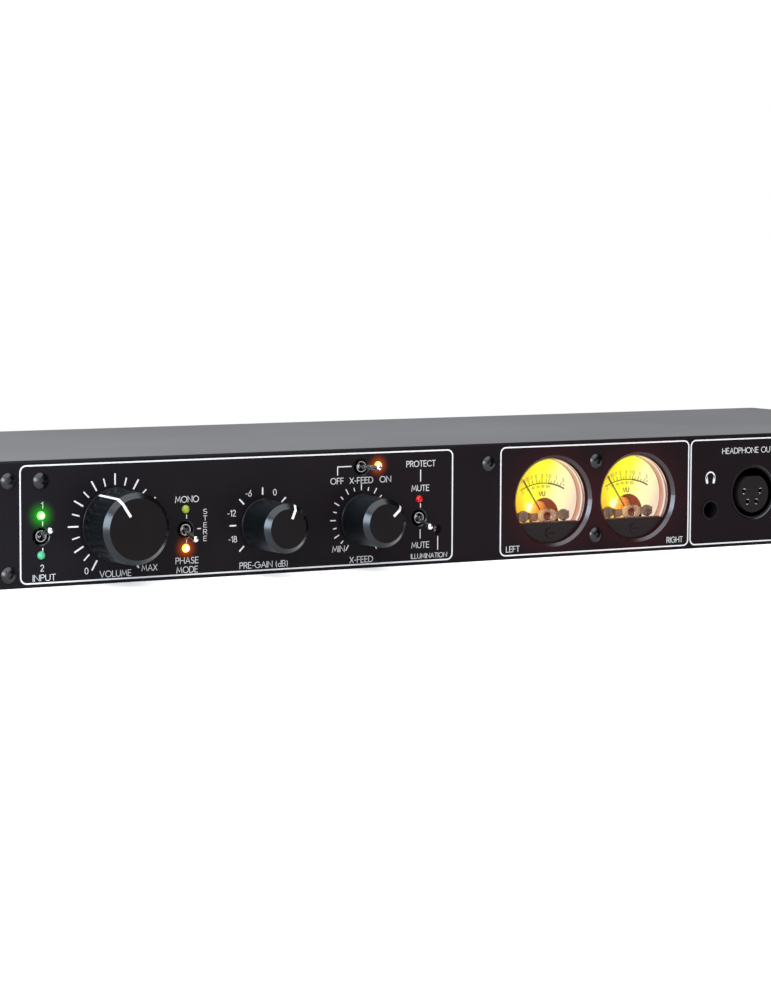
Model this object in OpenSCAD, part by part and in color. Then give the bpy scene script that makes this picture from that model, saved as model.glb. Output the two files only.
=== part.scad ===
// One-unit rack headphone amplifier with two round level meters.
// Origin: centre of the rack-ear slots on the rear face of the front panel.
// +X to the right seen from the front, +Y into the rack, +Z up.

/* [Rack panel] */
// Width of the front panel
panel_w = 482.6; // [480:0.1:483]
// Height of the front panel, one rack unit less the gap
panel_h = 43.65; // [43.4:0.05:44]
// Thickness of the front panel
panel_t = 4; // [3:0.5:4]
// Distance between the left and right ear slots
ear_spacing_x = 465.1; // [464:0.1:466]
// Distance between the upper and lower ear slots
ear_spacing_z = 31.75; // [31:0.25:32]
// Width of an ear slot across its short axis
ear_slot_w = 7; // [6:0.1:7.5]
// End-to-end length of an ear slot
ear_slot_l = 10; // [9:0.5:11]

/* [Casing] */
// Outer width of the top cover
case_w = 432; // [430:1:438]
// Depth of the casing behind the front panel
case_d = 144; // [142:1:160]
// Thickness of the casing sheet
sheet_t = 1.5; // [1:0.1:1.6]
// How far the cover's side lips reach down
cover_lip = 14; // [12:1:18]

/* [Knobs] */
// Diameter of the volume knob at its foot
volume_knob_d = 26.3; // [24:0.1:27]
// Length of the volume knob
volume_knob_l = 18.1; // [16:0.1:20]
// Number of flutes around the volume knob
volume_flutes = 28; // [12:1:30]
// Diameter of the two small knobs at their foot
small_knob_d = 18.9; // [16:0.1:20]
// Length of the pre-gain knob
pregain_knob_l = 18.6; // [15:0.1:20]
// Length of the cross-feed knob
crossfeed_knob_l = 17.5; // [15:0.1:20]
// Width of the bevel around each knob's face
knob_bevel = 1.8; // [1:0.1:2.2]
// Diameter of the three control shafts
shaft_d = 6; // [5.8:0.05:6]

/* [Toggles and lamps] */
// Length of a toggle lever in front of its pivot
lever_l = 12; // [10:0.1:13]
// Tilt of a toggle lever away from straight out
lever_tilt = 14; // [10:1:15]
// Diameter of the indicator lamps
led_d = 3; // [2.9:0.05:3.1]

/* [Meters] */
// Diameter of a meter hole in the front panel
meter_hole_d = 32.5; // [32.4:0.1:33]
// Width of the bevel around a meter hole
meter_bevel = 1.15; // [0.5:0.05:1.3]
// Distance of the black mask's straight edge below the meter centre
mask_drop = 8.4; // [8:0.1:9]
// Angle of a resting needle left of straight up
needle_rest = 33.4; // [30:0.2:36]

/* [Hidden] */
$fn = 64;

slack = 0.05;                      // radial gap of a running fit
gap = 0.1;                         // gap between faces that only meet
front_y = -panel_t;
bottom_z = -panel_h / 2;
top_z = panel_h / 2;
floor_z = bottom_z + sheet_t;      // upper face of the tray's floor
tray_w = case_w - 2 * sheet_t - 2 * gap;
rear_y = case_d - 2 * sheet_t - gap;   // inner face of the rear panel

// Places on the front panel, [x, z]
input_at = [-196.7, -4.1];
input_leds_z = [3.0, -10.7];
mode_at = [-141.5, -4.4];
mode_leds_z = [2.9, -10.95];
crossfeed_switch_at = [-70.4, 15.4];
crossfeed_led_at = [-63.5, 15.6];
mute_at = [-46, -4.3];
mute_led_z = 2.6;
power_at = [170.3, -4.3];
power_led_z = 2.6;
illumination_at = [-38.2, -9.0];
trimmer_hole_d = 3.4;
volume_at = [-168.8, -1.4];
pregain_at = [-111.0, -3.8];
crossfeed_at = [-70.5, -3.8];
meters_at = [[13.0, -0.55], [51.6, -0.55]];
meter_screws_at = [[32.1, 13.9], [32.1, -14.3]];
jacks_at = [[85.7, -7.1], [127.1, -7.1]];
balanced_out_at = [106.4, -0.95];
board_screws_at = [[-196.8, 15.0], [-16.0, 14.6]];
tab_screws_at = [for (x = [-208.8, 208.8], z = [15.3, -17]) [x, z]];

// Front board, upright behind the front panel
board_t = 1.6;
front_board_y = 12;
front_board_x = [-206, -10];
front_board_h = 36;

// Meter parts, as distances from the panel's rear face
lens_front = -1.5;
lens_r = 16;
lens_wall = 1.4;
dial_y = 4.1;
dial_t = 0.4;
meter_back = 19;
needle_y = 3.2;
pivot_drop = 6.15;                 // needle pivot below the meter centre
dial_screw_x = 9.05;
zero_drop = 12.3;                  // zero adjuster below the meter centre

// Toggles
toggle_front = 3;                  // front face of the switch body
bushing_front = -3.8;
bushing_r = 2;
bushing_wall = 0.3;                // at the open front end
bushing_bore = 1.5;                // radius at the pivot
toggle_hole_d = 6;
pivot_y = -1.2;
pivot_r = 1.3;

// Main board
main_z = -13.9;
main_x = [-200, 70];
main_y = [22, 134];

// Rear connectors, [x, z]
rear_inputs_at = [[-185, -0.6], [-152, -0.6]];
phono_at = [[-122, -1.5], [-102, -1.5]];
inlet_at = [178, 0];
inlet_w = 27;
drawer_w = 11;
drawer_offset = 20;

// Transformer
toroid_at = [130, 80];
toroid_r = 41;
toroid_h = 31;

// Turns a piece drawn standing on Z so that its top faces the front, at a depth behind the panel
module facing(at, y = 0) translate([at[0], y, at[1]]) rotate([90, 0, 0]) children();
// The same, facing the rear
module facing_back(at, y = 0) translate([at[0], y, at[1]]) rotate([-90, 0, 0]) children();

module rod(d, h, z = 0) translate([0, 0, z]) cylinder(d = d, h = h);
module ring(d, bore, h, z = 0) translate([0, 0, z]) difference() {
    cylinder(d = d, h = h);
    translate([0, 0, -1]) cylinder(d = bore, h = h + 2);
}
module block(size, at) translate(at) cube(size, center = true);

// M3 button-head screw: underside of the head at z = 0, shank downwards
module button_screw(shank = 8) {
    difference() {
        intersection() {
            cylinder(d = 5.7, h = 1.65);
            translate([0, 0, -1.95]) sphere(r = 3.6);
        }
        translate([0, 0, 0.65]) cylinder(d = 2.31, h = 2, $fn = 6);
    }
    rod(2.9, shank, -shank);
}
// M3 pan-head screw with a cross slot
module pan_screw(shank = 6) {
    difference() {
        rod(5.4, 2);
        for (a = [0, 90]) rotate(a) block([3.2, 0.7, 1.2], [0, 0, 1.6]);
    }
    rod(2.9, shank, -shank);
}

module panel_blank() rotate([90, 0, 90]) linear_extrude(panel_w, center = true)
    polygon([[0, -panel_h / 2], [0, panel_h / 2], [-panel_t + 0.4, panel_h / 2],
        [-panel_t, panel_h / 2 - 0.4], [-panel_t, -panel_h / 2 + 0.4],
        [-panel_t + 0.4, -panel_h / 2]]);

module panel_hole(at, d) facing(at, 1) cylinder(d = d, h = panel_t + 2);

module countersink(at, d, w) facing(at, front_y + w) cylinder(d1 = d, d2 = d + 2 * w, h = w);

module ear_slot(x, z) translate([x, 1, z]) rotate([90, 0, 0]) union() {
    reach = (ear_slot_l - ear_slot_w) / 2;
    for (s = [-1, 1]) translate([s * reach, 0, 0]) cylinder(d = ear_slot_w, h = panel_t + 2);
    translate([-reach, -ear_slot_w / 2, 0]) cube([2 * reach, ear_slot_w, panel_t + 2]);
}

module front_panel() color("#1d1b1d") difference() {
    panel_blank();
    for (x = [-1, 1], z = [-1, 1]) ear_slot(x * ear_spacing_x / 2, z * ear_spacing_z / 2);
    for (t = toggles) {
        panel_hole(t[0], toggle_hole_d);
        countersink(t[0], toggle_hole_d, 0.3);
    }
    for (at = all_leds_at) panel_hole(at, led_d + 2 * slack);
    panel_hole(illumination_at, trimmer_hole_d);
    for (at = [volume_at, pregain_at, crossfeed_at]) panel_hole(at, pot_thread_d + 0.4);
    for (at = concat(board_screws_at, meter_screws_at, tab_screws_at)) panel_hole(at, clear);
    for (at = jacks_at) panel_hole(at, jack_nose_d + 2 * gap);
    panel_hole(balanced_out_at, xlr_d + 3 * gap);
    countersink(balanced_out_at, xlr_d + 3 * gap, 0.35);
    for (at = meters_at) countersink(at, meter_hole_d, meter_bevel);
    for (at = meters_at) panel_hole(at, meter_hole_d);
}
all_leds_at = concat([for (z = input_leds_z) [input_at[0], z]],
    [for (z = mode_leds_z) [mode_at[0], z]],
    [crossfeed_led_at, [mute_at[0], mute_led_z], [power_at[0], power_led_z]]);

// Casing
tab_w = 11;                        // tabs that take the front and rear panel screws
tab_t = 2;
tapped = 3;                        // M3 hole drawn at the thread's outer diameter
clear = 3.4;                       // clearance hole for an M3 screw
side_screws_y = [20, case_d / 2, case_d - 20];
side_screw_z = top_z - cover_lip / 2 - 1;
module chassis_tray() color("#7c7f82") difference() {
    union() {
        translate([-tray_w / 2, gap, bottom_z]) cube([tray_w, rear_y - 2 * gap, sheet_t]);
        for (s = [-1, 1]) {
            block([sheet_t, rear_y - 2 * gap, panel_h - sheet_t - 2 * gap],
                [s * (tray_w - sheet_t) / 2, rear_y / 2, -sheet_t / 2 - gap]);
            for (y = [gap + tab_t / 2, rear_y - gap - tab_t / 2])
                block([tab_w, tab_t, panel_h - sheet_t - 2 * gap],
                    [s * (tray_w - tab_w) / 2, y, -sheet_t / 2 - gap]);
        }
    }
    for (at = tab_screws_at) facing(at, 5) cylinder(d = tapped, h = 6);
    for (at = rear_tab_screws_at) facing(at, rear_y + 1) cylinder(d = tapped, h = 6);
    for (s = [-1, 1], y = side_screws_y) translate([s * tray_w / 2, y, side_screw_z])
        rotate([0, 90, 0]) cylinder(d = tapped, h = 8, center = true);
    for (s = [-1, 1], i = [0:8]) block([6, 3, 16], [s * tray_w / 2, 36 + 9 * i, -8]);
}
rear_tab_screws_at = [for (x = [-1, 1], z = [-14, 10]) [x * (tray_w / 2 - 7), z]];

module top_cover() color("#8b8e92") difference() {
    union() {
        translate([-case_w / 2, gap, top_z - sheet_t]) cube([case_w, case_d - gap, sheet_t]);
        for (s = [-1, 1]) block([sheet_t, case_d - gap, cover_lip],
            [s * (case_w - sheet_t) / 2, (case_d + gap) / 2, top_z - cover_lip / 2]);
        block([case_w, sheet_t, 7], [0, case_d - sheet_t / 2, top_z - 3.5]);
    }
    for (s = [-1, 1], y = side_screws_y) translate([s * case_w / 2, y, side_screw_z])
        rotate([0, 90, 0]) cylinder(d = clear, h = 8, center = true);
}

module rear_panel() color("#7c7f82") difference() {
    block([tray_w, sheet_t, panel_h - 2 * sheet_t - 3 * gap],
        [0, rear_y + sheet_t / 2, -gap / 2]);
    for (at = rear_tab_screws_at) facing(at, rear_y + 4) cylinder(d = clear, h = 8);
    for (at = rear_inputs_at) facing(at, rear_y + 4) cylinder(d = xlr_d + 1, h = 8);
    for (at = phono_at) facing(at, rear_y + 4) cylinder(d = 9, h = 8);
    block([inlet_w + drawer_w + 7.2, 8, 24.4], [inlet_at[0] - 3, rear_y, inlet_at[1]]);
}

module panel_screws() color("#2a2829")
    for (at = concat(board_screws_at, meter_screws_at, tab_screws_at))
        facing(at, front_y) button_screw();

module case_screws() color("#2a2829") {
    for (s = [-1, 1], y = side_screws_y) translate([s * case_w / 2, y, side_screw_z])
        rotate([0, s * 90, 0]) button_screw(6);
    for (at = rear_tab_screws_at) facing_back(at, rear_y + sheet_t) button_screw(6);
}

main_screws_at = [for (x = [main_x[0] + 5, -65, main_x[1] - 5], y = [main_y[0] + 5, main_y[1] - 5])
    [x, y]];
module board_screws() color("#b8b9bb") {
    for (at = main_screws_at) translate([at[0], at[1], main_z + board_t]) pan_screw(5);
    for (at = board_screws_at) facing_back(at, front_board_y + board_t) pan_screw(5);
}

module spacer(l, d = 5.5) difference() {
    cylinder(d = d, h = l);
    translate([0, 0, -1]) cylinder(d = tapped, h = l + 2);
}
module board_spacers() color("#b9b08a") {
    for (at = main_screws_at) translate([at[0], at[1], floor_z]) spacer(main_z - floor_z);
    for (at = board_screws_at) facing_back(at, 0) spacer(front_board_y);
    for (at = meter_screws_at) facing_back(at, 0) spacer(meter_clamp_y);
}

module front_board() color("#1f5a38") difference() {
    translate([front_board_x[0], front_board_y, -front_board_h / 2])
        cube([front_board_x[1] - front_board_x[0], board_t, front_board_h]);
    for (at = board_screws_at) facing(at, front_board_y + 3) cylinder(d = clear, h = 6);
}

// Sub-miniature toggles; turn is 0 for an up-down lever and 90 for a left-right one
toggles = [[input_at, 0], [mode_at, 0], [crossfeed_switch_at, 90], [mute_at, 0], [power_at, 0]];
module toggle_bodies() color("#26262a") {
    for (t = toggles) facing(t[0], front_board_y) rotate(t[1])
        translate([-3.2, -4.8, 0]) cube([6.4, 9.6, front_board_y - toggle_front]);
    // The power toggle is wired by its own solder tags
    facing(power_at, front_board_y) for (i = [-1:1]) block([1, 0.6, 4], [0, 2.6 * i, -1.9]);
}
module toggle_bushing() difference() {
    union() {
        rod(2 * bushing_r, toggle_front - bushing_front);
        rod(8, 0.8);
    }
    translate([0, 0, 0.9]) cylinder(r = bushing_bore, h = 10);
    // The bore opens towards the front to a thin rim
    translate([0, 0, toggle_front - bushing_front - 1.6])
        cylinder(r1 = bushing_bore, r2 = bushing_r - bushing_wall, h = 1.601);
}
module toggle_bushings() color("#c9c9cb")
    for (t = toggles) facing(t[0], toggle_front) toggle_bushing();

// Lever along +Z, pivot at the origin; the pin is the axis it tilts about
lever_tip_r = 1.15;
module lever(pin_turn) {
    sphere(r = pivot_r);
    rotate(pin_turn) cylinder(d = 0.8, h = 2 * bushing_bore - gap, center = true);
    rod(0.9, 3, -2.8);
    cylinder(r1 = 0.55, r2 = 0.95, h = lever_l - lever_tip_r);
    translate([0, 0, lever_l - lever_tip_r]) sphere(r = lever_tip_r);
}
module toggle_lever(at, up = 0, side = 0) color("#d4d4d6")
    facing(at, pivot_y) rotate([-up, side, 0]) lever(side == 0 ? [0, 90, 0] : [90, 0, 0]);
module input_lever() toggle_lever(input_at, up = lever_tilt);
module mode_lever() toggle_lever(mode_at, up = -lever_tilt);
module crossfeed_lever() toggle_lever(crossfeed_switch_at, side = lever_tilt);
module mute_lever() toggle_lever(mute_at, up = -lever_tilt);
module power_lever() toggle_lever(power_at, up = lever_tilt);

// Rotary controls: a round body with a threaded bushing, and a shaft with a wiper disc inside
rotor_d = 10;
rotor_t = 1.4;
rotor_z = 5;                       // rotor's height above the board
shaft_z = 4;                       // shaft's end above the board
pot_l = 11;
pot_thread_d = 7;
module rotary_body(d, body_col) color(body_col) difference() {
    union() {
        rod(d, pot_l);
        rod(pot_thread_d, 4.2, pot_l);
        ring(10.4, pot_thread_d, 0.8, pot_l);
    }
    rod(shaft_d + 2 * slack, 30, shaft_z - 1);
    rod(rotor_d + 1, rotor_t + 1, rotor_z - 0.5);
}
module volume_pot() facing(volume_at, front_board_y) rotary_body(24, "#3d3f42");
module pregain_switch() facing(pregain_at, front_board_y) rotary_body(22, "#20568c");
module crossfeed_pot() facing(crossfeed_at, front_board_y) rotary_body(17, "#3d3f42");

module shaft(at, tip) color("#c4c5c8") facing(at, front_board_y) {
    rod(shaft_d, front_board_y - shaft_z - front_y + tip, shaft_z);
    rod(rotor_d, rotor_t, rotor_z);
}
module volume_shaft() shaft(volume_at, volume_knob_l - knob_cap);
module pregain_shaft() shaft(pregain_at, pregain_knob_l - knob_cap);
module crossfeed_shaft() shaft(crossfeed_at, crossfeed_knob_l - knob_cap);

// Knob: foot ring, straight side with a slight draft, bevel and flat face
knob_cap = 4;                      // solid part of a knob in front of its shaft
volume_gap = 0.9;                  // gap between the panel and the volume knob's foot
small_gap = 1.3;
knob_draft = 0.3;
foot_step = 0.3;                   // how far the foot ring stands out
flute_r = 1.4;
flute_depth = 0.45;
flute_start = 5.2;                 // a smooth skirt is left below the flutes
module knob(d, l, flutes = 0) difference() {
    side = d / 2 - foot_step;
    flute_end = l - knob_bevel - 2.4;
    rotate_extrude($fn = 96) polygon([[0, 0], [d / 2, 0], [d / 2, 0.8], [side, 1.1],
        [side - knob_draft, l - knob_bevel], [side - knob_draft - knob_bevel, l], [0, l]]);
    translate([0, 0, -1]) cylinder(d = shaft_d + 0.04, h = l - knob_cap + 1.3);
    translate([0, 0, -1]) cylinder(d = 9, h = 2.4);
    for (i = [1:1:flutes]) rotate(360 * i / flutes)
        translate([side + flute_r - flute_depth, 0, 0]) {
            translate([0, 0, flute_start]) cylinder(r = flute_r, h = flute_end - flute_start);
            for (z = [flute_start, flute_end]) translate([0, 0, z]) sphere(r = flute_r);
        }
}
module volume_knob() color("#1c1c1f") facing(volume_at, front_y - volume_gap)
    knob(volume_knob_d, volume_knob_l, volume_flutes);
module pregain_knob() color("#1c1c1f") facing(pregain_at, front_y - small_gap)
    knob(small_knob_d, pregain_knob_l);
module crossfeed_knob() color("#1c1c1f") facing(crossfeed_at, front_y - small_gap)
    knob(small_knob_d, crossfeed_knob_l);

trimmer_y = 6;
trimmer_d = 2.9;
trimmer_tip_y = -1;
rotor_base_y = front_board_y - 1.6;
module trimmer_body() color("#2b55a5") facing(illumination_at, front_board_y) difference() {
    block([7.6, 7.6, front_board_y - trimmer_y], [0, 0, (front_board_y - trimmer_y) / 2]);
    rod(trimmer_d + 2 * slack, 20, 1.5);
}
module trimmer_rotor() color("#e8e4da") facing(illumination_at, rotor_base_y) difference() {
    rod(trimmer_d, rotor_base_y - trimmer_tip_y);
    block([4, 0.6, 1.6], [0, 0, rotor_base_y - trimmer_tip_y]);
}

// Indicator lamp: dome, flange and stand-off back to the board
led_dome_y = front_y + 0.3;         // where the dome begins
module led(tint, at) color(tint) facing(at, front_board_y) {
    rod(led_d, front_board_y - led_dome_y);
    translate([0, 0, front_board_y - led_dome_y]) sphere(d = led_d);
    rod(led_d + 0.8, 1, front_board_y - 1.6);
}
module input_1_led() led("#35ff2a", all_leds_at[0]);
module input_2_led() led("#4f9a80", all_leds_at[1]);
module mono_led() led("#8f8f3f", all_leds_at[2]);
module amber_leds() for (i = [3, 4]) led("#ffae2a", all_leds_at[i]);
module mute_led() led("#c02a30", all_leds_at[5]);
module power_led() led("#dfe8ff", all_leds_at[6]);

// Meters
meter_clamp_y = 2.4;
module each_meter(y) for (at = meters_at) facing(at, y) children();
module meter_housings() color("#161416") each_meter(meter_back) difference() {
    union() {
        rod(34.2, meter_back - 0.2);
        rod(36.4, 2, meter_back - 2.2);
    }
    rod(2 * lens_r + 2 * gap, 30, 1.2);
}
// Flat-sided disc: the part of a disc above or below the mask's edge
module above_edge(d, h, bottom) intersection() {
    rod(d, h);
    block([2 * d, d, 4 * h], [0, bottom + d / 2, 0]);
}
module below_edge(d, h, top) intersection() {
    rod(d, h);
    block([2 * d, d, 4 * h], [0, top - d / 2, 0]);
}
module meter_lenses() color("#f3e3c0", 0.4) each_meter(dial_y - gap) difference() {
    above_edge(2 * lens_r, dial_y - gap - lens_front, -mask_drop + gap);
    translate([0, 0, -1]) above_edge(2 * (lens_r - lens_wall), dial_y - lens_front - gap + 0.2,
        -mask_drop - 1);
}
mask_t = 1.4;
module meter_masks() color("#121012") each_meter(lens_front + mask_t) difference() {
    below_edge(2 * lens_r, mask_t, -mask_drop);
    translate([0, -zero_drop, -1]) cylinder(d = zero_d + 2 * slack, h = 5);
}
module meter_dials() color("#f2cf7a") each_meter(dial_y + dial_t) difference() {
    rod(2 * lens_r - 0.4, dial_t);
    translate([0, -pivot_drop, -1]) above_edge(13.4, 3, 0);
    translate([0, -pivot_drop, -1]) cylinder(r = 2, h = 3);
    for (s = [-1, 1]) translate([s * dial_screw_x, -pivot_drop, -1]) cylinder(r = 1, h = 3);
}
bridge_y = 1.7;
module meter_bridges() color("#b8924a") each_meter(0) translate([0, -pivot_drop, 0]) difference() {
    union() {
        block([13, 2.4, 0.6], [0, 0, -bridge_y - 0.3]);
        for (s = [-1, 1]) {
            block([0.6, 2.4, dial_y - bridge_y], [s * 6.2, 0, -(dial_y + bridge_y) / 2]);
            block([6, 2.8, 0.4], [s * 9, 0, -dial_y + 0.2]);
        }
        rod(3.4, 0.7, -bridge_y);
    }
    for (s = [-1, 1]) translate([s * dial_screw_x, 0, -dial_y - 1]) cylinder(r = 0.95, h = 3);
    rod(0.8, 3, -needle_y);
}
// Core, yoke and the web that carries the core
module meter_movements() color("#8d8f93") each_meter(16) translate([0, -pivot_drop, 0]) {
    ring(18, 11, 8);
    rod(6.6, 7, 0.5);
    block([2.6, 3.4, 7], [0, 4.2, 4]);
    for (s = [-1, 1]) difference() {
        translate([s * dial_screw_x, 0, -1.7]) cylinder(d = 3.4, h = 17.7 - dial_y - dial_t - gap);
        translate([s * dial_screw_x, 0, 5]) cylinder(d = 1.8, h = 12);
    }
}
module dial_screws() color("#c9c6bd") each_meter(dial_y - 0.4) translate([0, -pivot_drop, 0])
    for (s = [-1, 1]) translate([s * dial_screw_x, 0, 0]) {
        difference() {
            rod(4.4, 0.9);
            for (a = [20, 110]) rotate(a) block([2.8, 0.55, 0.9], [0, 0, 0.9]);
        }
        rod(1.7, 4.1, -4.1);
    }
needle_l = 16.6;
// Needle with its hub, tail, staff and coil, straight up, staff on the Z axis
module needle() {
    translate([-0.18, 0, -needle_y - 0.3]) cube([0.36, needle_l, 0.3]);
    translate([-0.6, -3, -needle_y - 0.3]) cube([1.2, 3, 0.3]);
    rod(2.2, 0.9, -needle_y - 0.6);
    rod(0.6, 6.3, -7.5);
    for (s = [-1, 1]) block([0.9, 0.9, 10.4], [s * 4.4, 0, -12]);
    for (z = [-17, -7.2]) block([9.7, 0.9, 0.6], [0, 0, z]);
}
module needle_at(at) color("#3a1d12") facing([at[0], at[1] - pivot_drop], 0)
    rotate(needle_rest) needle();
module left_needle() needle_at(meters_at[0]);
module right_needle() needle_at(meters_at[1]);

zero_d = 3.8;
module zero_screw(at) color("#2c292b") facing([at[0], at[1] - zero_drop], lens_front + mask_t + 0.6)
    difference() {
        union() {
            rod(zero_d, mask_t + 1);
            translate([0, 1.1, -1.2]) cylinder(d = 0.8, h = 1.4);
        }
        block([5, 0.7, 1], [0, 0, mask_t + 1]);
    }
module left_zero_screw() zero_screw(meters_at[0]);
module right_zero_screw() zero_screw(meters_at[1]);

module meter_lamps() color("#fff2cf") each_meter(1.6) for (s = [-1, 1])
    translate([s * 6.4, -zero_drop + 1.9, 0]) {
        sphere(r = 1.2);
        translate([-2.2, 0, 0]) rotate([0, 90, 0]) cylinder(r = 1.2, h = 4.4);
    }

module meter_bracket() color("#9c9ea1") difference() {
    block([80, 1.5, 37.4], [32.3, meter_clamp_y + 0.75, -0.6]);
    each_meter(10) cylinder(d = 34.6, h = 12);
    for (at = meter_screws_at) facing(at, 8) cylinder(d = tapped, h = 12);
}

// Headphone outputs
jack_bore = 6.5;
jack_nose_d = 7.8;
jack_back_y = 26;
jack_front_y = front_y - 0.4;
module headphone_jacks() color("#1a191b") for (at = jacks_at) facing(at, jack_back_y) difference() {
    union() {
        block([12, 14.6, 25.8], [0, 0, 12.9]);
        rod(jack_nose_d, jack_back_y - jack_front_y);
    }
    rod(jack_bore, 40, 1.5);
}
// XLR: metal shell with a square flange behind its panel, and a plastic contact insert
xlr_d = 20.6;
xlr_depth = 24;                    // back of the shell behind its panel
module xlr_shell() difference() {
    union() {
        rod(xlr_d, xlr_depth + 3.6);
        block([26, 31, 2], [0, 0, xlr_depth - 1.1]);
    }
    rod(xlr_d - 1.2, 40, 2);
    rod(8, 10, -1);
}
four_poles = [[-3.9, 0.9], [3.9, 0.9], [-2.1, -3.3], [2.1, -3.3]];
three_poles = [[-3.6, -2.1], [3.6, -2.1], [0, 3.6]];
insert_d = 14.9;
insert_drop = 0.45;                // insert's centre below the shell's
module xlr_insert(poles, l) translate([0, -insert_drop, 0]) difference() {
    intersection() {
        rod(insert_d, l, 2.1);
        block([20, insert_d - 0.65, 80], [0, -0.35, 0]);
    }
    for (at = poles) translate([at[0], at[1], 8]) cylinder(d = 2.5, h = 40);
}
module xlr_shells() color("#4a494c") {
    facing(balanced_out_at, xlr_depth) xlr_shell();
    for (at = rear_inputs_at) facing_back(at, rear_y - xlr_depth) xlr_shell();
}
module xlr_inserts() color("#151416") {
    facing(balanced_out_at, xlr_depth) xlr_insert(four_poles, xlr_depth - front_y - 2.1);
    for (at = rear_inputs_at) facing_back(at, rear_y - xlr_depth) xlr_insert(three_poles, 24);
}
module phono_sockets() color("#c9a24a") for (at = phono_at) facing_back(at, rear_y - 10) {
    rod(8.7, 10 + sheet_t + 0.2);
    rod(12, 9.8);
    ring(8.3, 4, 9, 10);
}

// Inside
module main_board() color("#1f5a38") difference() {
    translate([main_x[0], main_y[0], main_z])
        cube([main_x[1] - main_x[0], main_y[1] - main_y[0], board_t]);
    for (at = main_screws_at) translate([at[0], at[1], main_z - 1]) cylinder(d = clear, h = 4);
}
board_top = main_z + board_t;
module transformer() color("#c8a24c") translate([toroid_at[0], toroid_at[1], floor_z + 0.8])
    rotate_extrude($fn = 96) translate([(toroid_r + 14) / 2, toroid_h / 2])
        intersection() {
            square([toroid_r - 14, toroid_h], center = true);
            circle(r = 17.6);
        }
module transformer_clamp() color("#9b9da0") translate([toroid_at[0], toroid_at[1], 0]) {
    difference() {
        translate([0, 0, floor_z + 0.9 + toroid_h]) cylinder(r1 = 30, r2 = 26, h = 2);
        translate([0, 0, floor_z]) cylinder(d = 6.2, h = 60);
    }
    rod(6, toroid_h + 6, floor_z);
    translate([0, 0, floor_z + 3 + toroid_h]) cylinder(d = 10, h = 3, $fn = 6);
}
heatsink_at = [20, 100];
module heatsink() color("#2d2e31") translate([heatsink_at[0], heatsink_at[1], board_top]) {
    translate([-45, 0, 0]) cube([90, 4, 28]);
    for (i = [0:14]) translate([-45 + 6.28 * i, 4, 0]) cube([2, 16, 28]);
}
module power_transistors() color("#232325") for (i = [0:3])
    translate([heatsink_at[0] - 33 + 22 * i, heatsink_at[1] - 4.7, board_top + 7]) {
        translate([-5, 0, 0]) cube([10, 4.6, 9]);
        difference() {
            translate([-5, 3.3, 9]) cube([10, 1.3, 6.4]);
            translate([0, 10, 12.4]) rotate([90, 0, 0]) cylinder(d = 3.6, h = 12);
        }
        for (k = [-1:1]) translate([2.54 * k - 0.4, 2, -7]) cube([0.8, 0.5, 7.2]);
    }
module capacitors() color("#23324d") {
    for (x = [-24, 2], y = [44, 70]) translate([x, y, board_top]) cylinder(d = 22, h = 29);
    for (x = [-120:16:-56], y = [50]) translate([x, y, board_top]) cylinder(d = 10, h = 16);
}
module relays() color("#3a6fb0") for (i = [0:3])
    translate([-176 + 22 * i, 78, board_top]) cube([13, 28, 12]);

// Flat cable from the front board down to the main board, with a plug at each end
cable_r = 7;
cable_t = 0.9;
module ribbon_cable() color("#a8a8aa") translate([-95, 0, 0]) {
    start_y = front_board_y + board_t;
    drop_z = board_top + 6;
    translate([-12, start_y, drop_z + cable_r - 3]) cube([24, 6, 6]);
    translate([-12, start_y + 6 + cable_r - 3, board_top]) cube([24, 6, 6]);
    translate([-10, start_y + 6, drop_z]) rotate([0, 90, 0]) rotate([0, 0, 90])
        rotate_extrude(angle = 90) translate([cable_r - cable_t / 2, 0]) square([cable_t, 20]);
}

inlet_shift = 5;
module mains_inlet() color("#1a1a1c") translate([inlet_at[0], rear_y, inlet_at[1]]) {
    difference() {
        union() {
            block([52, 2.2, 28], [-3, sheet_t + 1.1 + gap, 0]);
            block([inlet_w + drawer_w + 7, 24, 24], [-3, -10, 0]);
        }
        block([24.2, 30, 16.6], [inlet_shift, 0.2, 0]);
        block([drawer_w, 30, 20.4], [inlet_shift - drawer_offset, -2, 0]);
    }
    for (at = [[-7, -1], [7, -1], [0, 4]])
        block([2, 16, 4], [inlet_shift + at[0], -8, at[1]]);
}
module fuse_drawer() color("#242426")
    translate([inlet_at[0] + inlet_shift - drawer_offset, rear_y, inlet_at[1]]) {
        block([drawer_w - 0.4, 18, 20], [0, -5.4, 0]);
        block([drawer_w - 0.4, 1.6, 20], [0, sheet_t + 2.2, 0]);
    }

front_panel();
chassis_tray();
rear_panel();
top_cover();
panel_screws();
case_screws();
board_screws();
board_spacers();
front_board();
toggle_bodies();
toggle_bushings();
input_lever();
mode_lever();
crossfeed_lever();
mute_lever();
power_lever();
volume_pot();
pregain_switch();
crossfeed_pot();
volume_shaft();
pregain_shaft();
crossfeed_shaft();
volume_knob();
pregain_knob();
crossfeed_knob();
trimmer_body();
trimmer_rotor();
input_1_led();
input_2_led();
mono_led();
amber_leds();
mute_led();
power_led();
meter_housings();
meter_lenses();
meter_masks();
meter_dials();
meter_bridges();
meter_movements();
dial_screws();
left_needle();
right_needle();
left_zero_screw();
right_zero_screw();
meter_lamps();
meter_bracket();
headphone_jacks();
xlr_shells();
xlr_inserts();
main_board();
transformer();
transformer_clamp();
heatsink();
power_transistors();
capacitors();
relays();
ribbon_cable();
mains_inlet();
fuse_drawer();
phono_sockets();
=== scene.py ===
"""A one-unit rack headphone amplifier: finishes, printing, lamps and meter faces on the CAD frame.

Lengths are in millimetres, except that lights are placed in metres. X is to the right, Y into the
rack, Z up.
"""

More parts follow.
